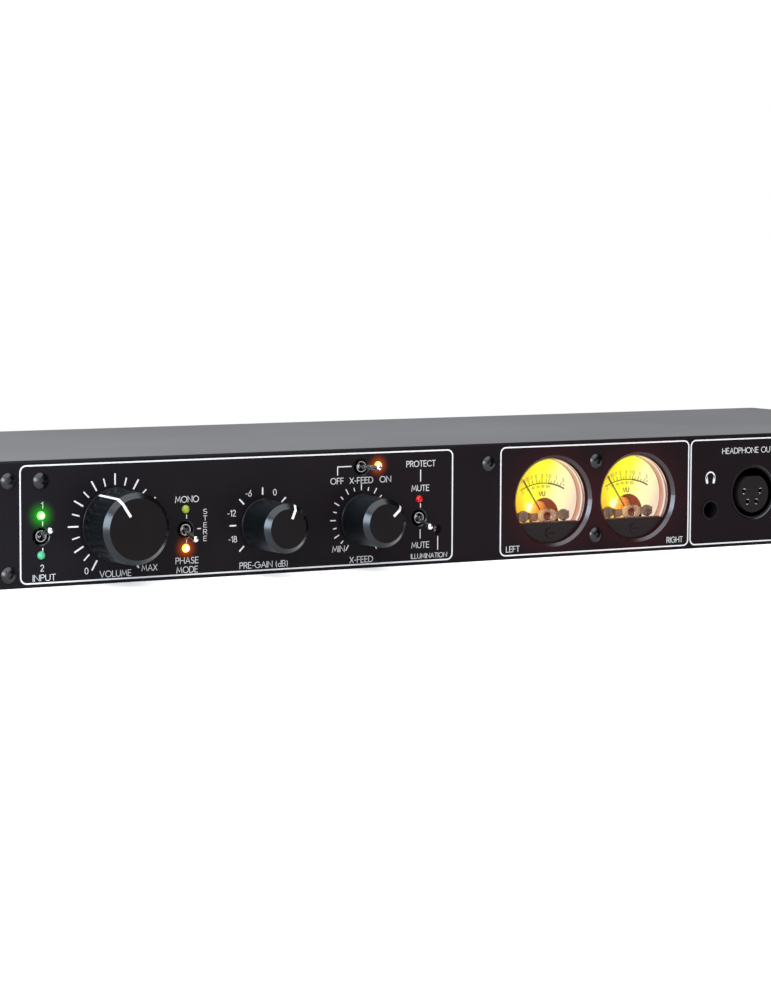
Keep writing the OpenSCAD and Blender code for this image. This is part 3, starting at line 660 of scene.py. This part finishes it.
def draw_lettering(mesh):
    for text, x, z, width in LABELS:
        write(mesh, text, x, z, CAP, on_front, width)
    write(mesh, "ILLUMINATION", -41.75, -18.5, 1.7, on_front, 15.3)
    for row, letter in enumerate("STERE"):
        z = STEREO_TOP - STEREO_STEP * row
        write(mesh, letter, STEREO_X, z, STEREO_CAP, on_front, STEREO_W[row])


LEADERS = [
    [(-196.15, 0.95), (-196.15, -0.45)], [(-196.15, -8.25), (-196.15, -9.4)],
    [(-141.2, 0.95), (-141.2, -0.35)], [(-141.2, -8.05), (-141.2, -9.15)],
    [(-136.9, -4.2), (-135.7, -4.2)],
    [(-74.8, 15.65), (-80.4, 15.65), (-80.4, 12.7)],
    [(-45.5, 13.35), (-45.5, 9.15)], [(-45.5, 0.9), (-45.5, -0.4)], [(-45.6, -8.75), (-45.6, -11.9)],
    [(-38.05, -11.6), (-38.05, -16.4)], [(170.3, 0.9), (170.3, -0.4)],
]


def draw_leaders(mesh):
    """Short lines from switches and lamps to their labels."""
    for path in LEADERS:
        stroke(mesh, path, LEAD_LINE, on_front)


HEADBAND_R = 1.95
HEADPHONE_Z = 5.6
JACK_BODY_R = 6


def draw_headphone_marks(mesh):
    """A headband with two ear pads over each jack."""
    jacks = corners("headphone_jacks")
    r, z = HEADBAND_R, HEADPHONE_Z
    for x in (jacks[0].x + JACK_BODY_R, jacks[1].x - JACK_BODY_R):
        band = [(x - r, z - 0.2), *arc(x, z + 0.2, r, r, 180, 0), (x + r, z - 0.2)]
        stroke(mesh, band, 0.55, on_front)
        for s in (-1, 1):
            stroke(mesh, [(x + s * r, z + 0.1), (x + s * (r - 0.4), z - 1.9)], 1.0, on_front)


piece("panel_borders", draw_borders, white_ink)
piece("panel_scales", draw_scales, white_ink)
piece("panel_lettering", draw_lettering, white_ink)
piece("panel_leaders", draw_leaders, white_ink)
piece("headphone_marks", draw_headphone_marks, white_ink)


# ---------------------------------------------------------------- knob pointers


FOOT_STEP = 0.3  # how far a knob's foot ring stands out from its side
KNOB_DRAFT = 0.3  # how much smaller in radius the side is at the bevel
KNOB_BEVEL = 1.8
POINTER_W = 0.95
POINTER_START = 1.3  # height of the line's start over the knob's foot
POINTER_REACH = 0.4  # the line's end on the face, as a share of the knob's radius


def draw_pointer(knob, degrees):
    """A white line up a knob's side, over the bevel and half way across its face."""
    low, high = corners(knob)
    centre = middle(knob)
    radius = (high.x - low.x) / 2
    length = high.y - low.y
    a = math.radians(degrees)
    out = Vector((math.sin(a), 0, math.cos(a)))
    across = Vector((math.cos(a), 0, -math.sin(a))) * POINTER_W / 2
    side = radius - FOOT_STEP
    profile = [  # radius, height over the foot, and the way the line's surface faces
        (side - KNOB_DRAFT * POINTER_START / length, POINTER_START, Vector((1, 0))),
        (side - KNOB_DRAFT, length - KNOB_BEVEL, Vector((1, -0.4)).normalized()),
        (side - KNOB_DRAFT - KNOB_BEVEL, length, Vector((0.4, -1)).normalized()),
        (radius * POINTER_REACH, length, Vector((0, -1))),
    ]

    def draw(mesh):
        sections = []
        for r, height, face in profile:
            base = Vector((centre.x, high.y - height, centre.z)) + out * r
            lift = (out * face.x + Vector((0, face.y, 0))) * INK
            sections.append([base - across, base + across, base + across + lift, base - across + lift])
        skin(mesh, sections)

    return draw


piece("volume_pointer", draw_pointer("volume_knob", -33), white_ink, "volume_control")
piece("pregain_pointer", draw_pointer("pregain_knob", 22.5), white_ink, "pregain_control")
piece("crossfeed_pointer", draw_pointer("crossfeed_knob", 49), white_ink, "crossfeed_control")


# ---------------------------------------------------------------- meters


DIAL_LAMP_ORANGE = (0.95, 0.36, 0.004)
DIAL_STOPS = [  # from the lamp's side to the far side
    (0.0, (0.9, 0.42, 0.008)), (0.12, (0.95, 0.66, 0.006)), (0.28, (0.93, 0.93, 0.004)),
    (0.46, (0.94, 0.93, 0.02)), (0.57, (0.93, 0.93, 0.2)), (0.7, (0.93, 0.95, 0.45)),
    (0.88, (0.96, 0.88, 0.5)), (1.0, (0.88, 0.68, 0.52)),
]
DIAL_CORNER = Vector((-14, 0, -7.5))  # where the painted orange of the lamp's light on the dial is deepest
BULB = Vector((-5.5, 0, -2.9))  # the lamp behind the dial's opening, from the meter's centre


def dial_finish():
    """Translucent dial lit from behind: its glow, painted, is strongest on the left and paler to the
    right.
    """
    finish = Finish("dial_lit", (0.05, 0.04, 0.02), 0.5, Specular_IOR_Level=0.2)
    across = finish.math("MULTIPLY", finish.along("X"), 0.032)
    upward = finish.math("MULTIPLY", finish.along("Z"), -0.012)
    share = finish.math("ADD", finish.math("ADD", across, upward), 0.5)
    cloudy = finish.math("MULTIPLY", finish.noise(0.35), 0.06)
    face = finish.ramp(finish.math("ADD", share, cloudy), DIAL_STOPS)
    face = finish.mix(finish.falloff(DIAL_CORNER, 2.5, 11, 1.2), face, DIAL_LAMP_ORANGE)
    # Painted pool of the bulb's light on the dial round it.
    hot = finish.halo(BULB, (1.0, 1.0, 0.75), 0.9, 3.4)
    return finish.glow(finish.mix(1.0, face, hot, "ADD"), 1.0).material


WALL_STOPS = [  # painted bands of the lamp's light, from the dial to the front of the lens
    (0.0, (0.6, 0.17, 0.06)), (0.3, (0.62, 0.3, 0.2)), (0.46, (0.6, 0.32, 0.24)),
    (0.52, (0.9, 0.75, 0.68)), (0.64, (0.9, 0.8, 0.76)),
    (0.74, (0.3, 0.14, 0.13)), (0.9, (0.12, 0.06, 0.07)), (1.0, (0.03, 0.012, 0.014)),
]
RIM_STOPS = [  # painted lamp light round the lens's front rim, from left to right
    (0.0, (0.85, 0.36, 0.02)), (0.2, (0.85, 0.6, 0.03)), (0.5, (0.5, 0.3, 0.06)),
    (0.75, (0.16, 0.06, 0.05)), (1.0, (0.05, 0.018, 0.02)),
]


def wall_finish():
    """The lens's clear wall, with the lamp's light that it carries to the front painted on it in bands.
    """
    finish = Finish("lens_wall_lit", (0.05, 0.03, 0.03), 0.16, Specular_IOR_Level=0.3)
    depth = finish.spread(finish.along("Y"), 1, 0, LENS_FRONT - DIAL_Y, 0)
    uneven = finish.math("MULTIPLY", finish.math("SUBTRACT", finish.noise(0.3), 0.5), 0.05)
    band = finish.ramp(finish.math("ADD", depth, uneven), WALL_STOPS)
    rim = finish.math("GREATER_THAN", finish.slope(), 0.6)
    across = finish.spread(finish.along("X"), 0, 1, -LENS_R, LENS_R)
    return finish.glow(finish.mix(rim, band, finish.ramp(across, RIM_STOPS)), 0.9).material


def window_finish():
    finish = Finish("lens_clear", (1, 1, 1), 0.02, Transmission_Weight=1.0, IOR=1.12,
                    Specular_IOR_Level=0.3)
    scuff = finish.spread(finish.noise(0.4), 0.01, 0.04)
    finish.set(finish.surface, {"Roughness": scuff})
    return finish.material


dial_lit, wall_lit, window_clear = dial_finish(), wall_finish(), window_finish()


def glowing(name, colour, glow, roughness=0.5, relief=0.003, level=0.2):
    """A surface inside the meter, with the lamp's light on it or through it painted as glow."""
    finish = Finish(name, colour, roughness, Specular_IOR_Level=level).vary(0.2, 0.8)
    return finish.grain(5.0, relief).glow(glow, 1.0).material


# The dial's print, with painted lamp light showing through it.
line_ink = glowing("dial_line_ink", (0.03, 0.006, 0.001), (0.11, 0.022, 0.002))
number_ink = glowing("dial_number_ink", (0.1, 0.05, 0.01), (0.42, 0.24, 0.02))
DIAL_R = 15.6
DIAL_T = 0.4
CUTOUT_R = 6.7
ARC_TOP = 6.16
ARC_R = 20.7
NEEDLE_SPAN = 44.4  # the scale's half angle, seen from the needle's pivot
PIVOT = (0.0, -PIVOT_DROP)
OPENING = (0.9, -PIVOT_DROP)
SCALE = [  # needle angle and number of each mark
    (-33.0, "20"), (-25.6, "10"), (-19.0, "7"), (-11.0, "5"), (-5.5, ""), (-0.9, "3"), (7.3, "1"),
    (12.6, "0"), (17.5, ""), (23.5, "1"), (29.5, ""), (35.5, "3"),
]
PERCENT_END = 12.6


def draw_dial(mesh, side):
    """A flat dial down to the mask, with a half-round opening over the needle's pivot."""
    place = on_dial(side)
    edge = MASK_EDGE - 0.3
    reach = math.degrees(math.asin(-edge / DIAL_R))
    rim = arc(0, 0, DIAL_R, DIAL_R, -reach, 180 + reach, 6)
    opening = arc(*OPENING, CUTOUT_R, CUTOUT_R, 180, 0, 10)
    outline = [*rim, (OPENING[0] - CUTOUT_R, edge), *opening, (OPENING[0] + CUTOUT_R, edge)]
    prism(mesh, outline, lambda x, z, lift: place(x, z, -lift), DIAL_T)


def on_arc(degrees, lift=0.0):
    """The point of the scale's line, or above it, that the needle covers at an angle."""
    a = math.radians(degrees)
    direction = Vector((math.sin(a), math.cos(a)))
    centre = Vector((0, ARC_TOP - ARC_R))
    gap = Vector(PIVOT) - centre
    along = gap.dot(direction)
    reach = -along + math.sqrt(along * along - gap.length_squared + (ARC_R + lift) ** 2)
    return Vector(PIVOT) + direction * reach


def draw_scale(mesh, side):
    """The scale's line and marks, heavier above zero."""
    place = on_dial(side)
    for start, end, width in ((-NEEDLE_SPAN, PERCENT_END, 0.3), (PERCENT_END, NEEDLE_SPAN, 0.5)):
        line = [on_arc(start + (end - start) * i / 20) for i in range(21)]
        stroke(mesh, line, width, place)
    for angle, text in SCALE:
        stroke(mesh, [on_arc(angle), on_arc(angle, 1.6 if text else 1.0)], 0.2, place)
    write(mesh, "VU", -0.2, 2.1, 1.55, place, weight=0.2)


def draw_numbers(mesh, side):
    """Decibels above the line and percentages below it."""
    place = on_dial(side)
    for angle, text in SCALE:
        if text:
            write(mesh, text, *on_arc(angle, 2.7), 1.3, place, weight=0.16)
    write(mesh, "+", 9.6, 5.2, 1.3, place, weight=0.16)
    for step in range(6):
        angle = -NEEDLE_SPAN + (PERCENT_END + NEEDLE_SPAN) * step / 5
        write(mesh, str(20 * step), *on_arc(angle, -1.2), 0.85, place, weight=0.18)


def chopped(radius, edge):
    """Start and sweep, in degrees, of a circle's part above a straight edge below its centre."""
    start = math.degrees(math.asin(edge / radius))
    return start, 180 - 2 * start


def draw_wall(mesh, side):
    """The lens's side wall, softened at its front rim, open towards the mask."""
    centre = METERS[side]
    start, sweep = chopped(LENS_INNER_R, MASK_EDGE + 0.1)
    front, back = LENS_FRONT, DIAL_Y - 0.1
    lip = 0.35
    profile = [(LENS_INNER_R, back), (LENS_R, back), (LENS_R, front + lip), (LENS_R - lip, front),
               (LENS_INNER_R + 0.15, front), (LENS_INNER_R, front + 0.15)]
    turned(mesh, profile, (centre.x, centre.z), 96, start, sweep)


def draw_window(mesh, side):
    """The clear front of the lens: a thin flat disc, straight along the mask."""
    centre = METERS[side]
    radius = LENS_INNER_R - 0.02
    start, sweep = chopped(radius, MASK_EDGE + 0.1)
    rim = arc(0, 0, radius, radius, start, start + sweep, 4)
    back = LENS_FRONT + 0.7
    prism(mesh, rim, lambda x, z, lift: Vector((centre.x + x, back - lift, centre.z + z)), 0.6)


BRIDGE_FRONT = corners("meter_bridges")[0].y


def at_pivot(side):
    return METERS[side].x, METERS[side].z - PIVOT_DROP


JEWEL_R = 1.65
JEWEL_DOME = [  # radius, and height over the bridge's front
    (0.0, 0.0), (JEWEL_R, 0.0), (JEWEL_R, 0.35), (1.2, 0.6), (0.6, 0.7), (0.0, 0.72),
]
BOSS_RING = [(1.68, -0.1), (2.5, -0.1), (2.5, 0.25), (2.25, 0.45), (1.9, 0.45), (1.68, 0.2)]
BOSS_OUTLINE = [*arc(2.6, 0.2, 1.4, 2.3, -90, 90), *arc(-2.6, 0.2, 1.4, 2.3, 90, 270)]
BOSS_SINK = 0.15  # how far the boss reaches behind the bridge's front


def draw_jewel(mesh, side):
    """The bridge's jewel screw: a low dome."""
    dome = [(radius, BRIDGE_FRONT - height) for radius, height in JEWEL_DOME]
    turned(mesh, dome, at_pivot(side), 40)


def draw_boss(mesh, side):
    """The bridge's middle: a plate with rounded ends, and a ring round the jewel."""
    x, z = at_pivot(side)
    back = BRIDGE_FRONT + BOSS_SINK
    prism(mesh, BOSS_OUTLINE, lambda px, pz, lift: Vector((x + px, back - lift, z + pz)), 0.5)
    ring = [(radius, BRIDGE_FRONT - height) for radius, height in BOSS_RING]
    turned(mesh, ring, (x, z), 48)


STAFF_CLEAR = 0.8


def staff_slot(bottom):
    """A slot from below that leaves the needle's staff free, from the pivot."""
    return [(-STAFF_CLEAR, bottom), *arc(0, 0, STAFF_CLEAR, STAFF_CLEAR, 180, 0), (STAFF_CLEAR, bottom)]


def draw_backing(mesh, side):
    """A sheet in the space behind the dial's opening, standing in for its dark inside, with red lamp
    glow painted on.
    """
    place = on_dial(side)
    reach = CUTOUT_R + 1.2
    slot = [(x, z - PIVOT_DROP) for x, z in staff_slot(MASK_EDGE + PIVOT_DROP)]
    outline = [*arc(*OPENING, reach, reach, 0, 180, 10), (-reach, MASK_EDGE), *slot, (reach, MASK_EDGE)]
    prism(mesh, outline, lambda x, z, lift: place(x, z, -2.3 - lift), 0.2)


CORE = [  # outline from the pivot
    (-5.6, -1.2), (-5.6, 1.2), (-4.4, 3.4), (-2.9, 5.0), (-0.8, 5.5), (1.2, 5.0), (2.4, 3.4),
    (3.4, 1.6), (5.6, 1.0), (5.6, -1.2),
]


def draw_core(mesh, side):
    """The movement's core, lit from the left, seen through the opening."""
    place = on_dial(side)
    outline = [*CORE, *reversed(staff_slot(CORE[0][1]))]
    back = [place(x, z - PIVOT_DROP, -2.2) for x, z in outline]
    waist = [place(x, z - PIVOT_DROP, -1.2) for x, z in outline]
    front = [place(0.82 * x - 0.2, 0.82 * z - PIVOT_DROP, -0.6) for x, z in outline]
    skin(mesh, [back, waist, front])


def draw_back_lamp(mesh, side):
    """The little bulb behind the dial's opening that lights the meter."""
    at = (METERS[side].x + BULB.x, METERS[side].z + BULB.z)
    y = DIAL_Y + 0.5
    bulb = [(0.0, y), (0.55, y + 0.15), (0.9, y + 0.6), (0.9, y + 2.2), (0.0, y + 2.3)]
    turned(mesh, bulb, at, 32)


def draw_mask_edge(mesh, side):
    """A strip along the mask's upper edge, glowing as a painted highlight of the lamp."""
    x, z = METERS[side].x, METERS[side].z + MASK_EDGE
    half = math.sqrt(LENS_INNER_R ** 2 - MASK_EDGE ** 2) - 0.3
    outline = [(-half, 0.0), (half, 0.0), (half, 0.28), (-half, 0.28)]
    prism(mesh, outline, lambda px, pz, lift: Vector((x + px, LENS_FRONT + 2.4 - lift, z + pz)), 0.9)


CORE_STOPS = [  # from the lamp outwards
    (0.0, (1.0, 0.8, 0.3)), (0.2, (1.0, 0.5, 0.04)), (0.42, (0.75, 0.22, 0.01)),
    (0.65, (0.28, 0.045, 0.004)), (1.0, (0.1, 0.01, 0.003)),
]
BRIDGE_STOPS = [(0.0, (0.7, 0.4, 0.08)), (0.4, (0.16, 0.06, 0.02)), (1.0, (0.05, 0.024, 0.018))]


def core_finish():
    """Painted lamp light: white next to the lamp, then orange, then dark red."""
    finish = Finish("core_lit", (0.3, 0.12, 0.03), 0.35, 0.3)
    finish.vary(0.25, 0.6).grain(1.2, 0.08)
    away = finish.away(BULB)
    ripple = finish.math("MULTIPLY", finish.noise(0.9), 2.2)
    share = finish.spread(finish.math("ADD", away, ripple), 0, 1, 1.5, 11.5)
    return finish.glow(finish.ramp(share, CORE_STOPS), 1.0).material


def bridge_finish():
    """Brass, with painted lamp light: warm and bright towards the lamp."""
    finish = Finish("bridge_lit", (0.26, 0.16, 0.1), 0.26, 0.9)
    finish.vary(0.25, 0.8).grain(1.5, 0.02)
    away = finish.away(BULB)
    share = finish.spread(away, 0, 1, 0, 14)
    return finish.glow(finish.ramp(share, BRIDGE_STOPS), 1.0).material


# The jewel, with painted lamp glow through it; the filament below is the lamp itself.
jewel = glowing("jewel_red", (0.07, 0.008, 0.005), (0.045, 0.004, 0.002), 0.16, 0.01, 0.3)
hot_glass = glowing("lamp_filament", (0.9, 0.7, 0.4), (3.0, 2.6, 1.3), 0.1)
# The sheet behind the opening: painted red lamp glow.
painted_red_glow_backing = glowing("painted_red_glow_backing", (0.05, 0.008, 0.004), (0.2, 0.03, 0.007), 0.6)
# A painted highlight of the lamp along the mask's edge.
painted_edge_highlight = glowing("mask_edge_painted_highlight", (0.06, 0.025, 0.02), (0.1, 0.04, 0.03), 0.4)
core_lit, bridge_lit = core_finish(), bridge_finish()

METER_PIECES = [  # name, drawing, material, slot, smoothing angle, whether its frame is the dial's
    ("dial_face", draw_dial, dial_lit, "meter_dial", None, True),
    ("dial_scale", draw_scale, line_ink, None, None, False),
    ("dial_numbers", draw_numbers, number_ink, None, None, False),
    ("lens_wall", draw_wall, wall_lit, "meter_lens", 30, True),
    ("lens_window", draw_window, window_clear, "meter_lens", 30, False),
    ("bridge_boss", draw_boss, bridge_lit, None, 40, True),
    ("bridge_jewel", draw_jewel, jewel, None, 50, False),
    ("movement_core", draw_core, core_lit, None, None, True),
    ("opening_glow_sheet", draw_backing, painted_red_glow_backing, None, None, False),
    ("back_lamp", draw_back_lamp, hot_glass, "lamp_glass", 50, False),
    ("mask_edge", draw_mask_edge, painted_edge_highlight, None, None, False),
]
METER_REPLACES = {"dial_face": "meter_dials", "lens_wall": "meter_lenses"}


def build_meter(side):
    centre = METERS[side]
    for name, draw, material, slot, smooth, own_frame in METER_PIECES:
        origin = (centre.x, DIAL_Y, centre.z) if own_frame else (0, 0, 0)
        made = piece(f"{side}_{name}", lambda mesh: draw(mesh, side), material, slot=slot,
                     smooth=smooth, origin=origin)
        if name in METER_REPLACES:
            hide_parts(METER_REPLACES[name])


for side in METERS:
    build_meter(side)
# The bridge's brass arms, with painted lamp glow.
bridge_arms = glowing("bridge_arms", (0.16, 0.09, 0.055), (0.07, 0.028, 0.014), 0.3)
for node, material in (("meter_bridges", bridge_arms), ("meter_lamps", hot_glass)):
    NODES[node].data.materials.clear()
    NODES[node].data.materials.append(material)


# ---------------------------------------------------------------- sockets


contact_metal = plated("contact_silver", (0.55, 0.54, 0.53), 0.2)
FOUR_POLES = [(-3.9, 0.9), (3.9, 0.9), (-2.1, -3.3), (2.1, -3.3)]
THREE_POLES = [(-3.6, -2.1), (3.6, -2.1), (0, 3.6)]
SLEEVE = [(0.85, 0.7), (1.2, 0.7), (1.2, 9), (0.85, 9)]  # radius, depth behind the insert's face


def draw_contacts(mesh, centre, poles, face_y, inward):
    """A sprung sleeve in each hole of a socket's insert."""
    profile = [(radius, face_y + inward * depth) for radius, depth in SLEEVE]
    for x, z in poles:
        turned(mesh, profile, (centre[0] + x, centre[1] + z), 24)


insert_low, insert_high = corners("xlr_inserts")
INSERT_R = 7.45
FRONT_XLR = (106.4, -1.4)
REAR_XLR_Z = -1.05
REAR_PITCH = 33
rear_right = insert_low.x + INSERT_R
rear_xlrs = [(rear_right, REAR_XLR_Z), (rear_right + REAR_PITCH, REAR_XLR_Z)]
rear_phonos = corners("phono_sockets")
PHONO_R = 4.2
REAR_CAP = 2.0


def draw_front_contacts(mesh):
    draw_contacts(mesh, FRONT_XLR, FOUR_POLES, insert_low.y, 1)


def draw_rear_contacts(mesh):
    for centre in rear_xlrs:
        draw_contacts(mesh, centre, THREE_POLES, insert_high.y, -1)


def draw_rear_lettering(mesh):
    """Names of the sockets at the back; x is to the right as seen from behind."""
    first, second = -rear_xlrs[0][0], -rear_xlrs[1][0]
    phono_right = -rear_phonos[0].x - PHONO_R
    phono_left = -rear_phonos[1].x + PHONO_R
    inlet = -middle("mains_inlet").x
    labels = [
        ("RIGHT", first, 12.9), ("LEFT", second, 12.9),
        ("INPUT 1", (first + second) / 2, -16.6),
        ("RIGHT", phono_right, 7.6), ("LEFT", phono_left, 7.6),
        ("INPUT 2", (phono_right + phono_left) / 2, -10.6),
        ("MAINS INPUT", inlet - 6, -17.6), ("FUSE", inlet + 14, -17.6),
    ]
    for text, x, z in labels:
        write(mesh, text, x, z, REAR_CAP, on_rear)
    for left, right, z in ((second, first, -14.4), (phono_left, phono_right, -8.6)):
        bracket = [(left, z + 1.2), (left, z), (right, z), (right, z + 1.2)]
        stroke(mesh, bracket, LEAD_LINE, on_rear)


piece("front_xlr_contacts", draw_front_contacts, contact_metal, smooth=40)
piece("rear_xlr_contacts", draw_rear_contacts, contact_metal, smooth=40)
piece("rear_lettering", draw_rear_lettering, white_ink)


# ---------------------------------------------------------------- floor, lights and camera


def soft_box(name, place, size, power, colour=(1, 1, 1), target=(0, 0, 0)):
    """A rectangular light, in metres and watts, turned towards a point."""
    data = bpy.data.lights.new(name, "AREA")
    data.shape = "RECTANGLE"
    data.size, data.size_y = size
    data.energy, data.color = power, colour
    light = bpy.data.objects.new(name, data)
    light.location = place
    light.rotation_euler = (Vector(target) - Vector(place)).to_track_quat("-Z", "Y").to_euler()
    bpy.context.scene.collection.objects.link(light)


FLOOR_T = 0.2
FLOOR = [(-1100, -1100), (1100, -1100), (1100, 700), (-1100, 700)]


def floor_finish():
    finish = Finish("floor_pale", (0.82, 0.82, 0.82), 0.8, Specular_IOR_Level=0.1)
    return finish.vary(0.01, 0.002).glow((1, 1, 1), 0.3).material


floor_mesh = bmesh.new()
prism(floor_mesh, FLOOR, lambda x, y, lift: Vector((x, y, BASE - FLOOR_T + lift)), FLOOR_T)
floor_data = bpy.data.meshes.new("floor")
floor_mesh.to_mesh(floor_data)
floor_mesh.free()
floor_data.materials.append(floor_finish())
floor = bpy.data.objects.new("floor", floor_data)
bpy.context.scene.collection.objects.link(floor)

soft_box("left_box", (-1.25, -0.75, 0.36), (0.62, 0.72), 26, (0.82, 0.92, 1.0))
soft_box("top_box", (-0.35, -0.3, 1.5), (2.4, 2.2), 68)
soft_box("front_fill", (-0.95, -1.45, 0.5), (0.7, 0.6), 4)

WORLD_LIGHT = 0.07
WORLD_SEEN = 1.0
world = bpy.data.worlds.new("studio")
bpy.context.scene.world = world
world.use_nodes = True
world_nodes, world_links = world.node_tree.nodes, world.node_tree.links
seen = world_nodes.new("ShaderNodeLightPath")
strength = world_nodes.new("ShaderNodeMapRange")
strength.inputs["To Min"].default_value = WORLD_LIGHT
strength.inputs["To Max"].default_value = WORLD_SEEN
world_links.new(seen.outputs["Is Camera Ray"], strength.inputs["Value"])
world_links.new(strength.outputs["Result"], world_nodes["Background"].inputs["Strength"])
world_nodes["Background"].inputs["Color"].default_value = (1, 1, 1, 1)

CAMERA_AZIMUTH = math.radians(-29.86)
CAMERA_ELEVATION = math.radians(5.09)
CAMERA_ROLL = math.radians(0.22)
CAMERA_DISTANCE = 1099.5
CAMERA_LENS = 108.19
CAMERA_TARGET = Vector((-60.35, FRONT, 2.825))

back = Vector((
    math.sin(CAMERA_AZIMUTH) * math.cos(CAMERA_ELEVATION),
    -math.cos(CAMERA_AZIMUTH) * math.cos(CAMERA_ELEVATION),
    math.sin(CAMERA_ELEVATION),
))
level = Vector((math.cos(CAMERA_AZIMUTH), math.sin(CAMERA_AZIMUTH), 0))
upright = back.cross(level)
right = math.cos(CAMERA_ROLL) * level + math.sin(CAMERA_ROLL) * upright
up = -math.sin(CAMERA_ROLL) * level + math.cos(CAMERA_ROLL) * upright
camera_data = bpy.data.cameras.new("camera")
camera_data.lens = CAMERA_LENS
camera_data.clip_end = 20
camera = bpy.data.objects.new("camera", camera_data)
camera.matrix_world = Matrix.Translation(MM * (CAMERA_TARGET + back * CAMERA_DISTANCE)) @ Matrix(
    (right, up, back)).transposed().to_4x4()
bpy.context.scene.collection.objects.link(camera)
bpy.context.scene.camera = camera
bpy.context.scene.view_settings.view_transform = "Standard"
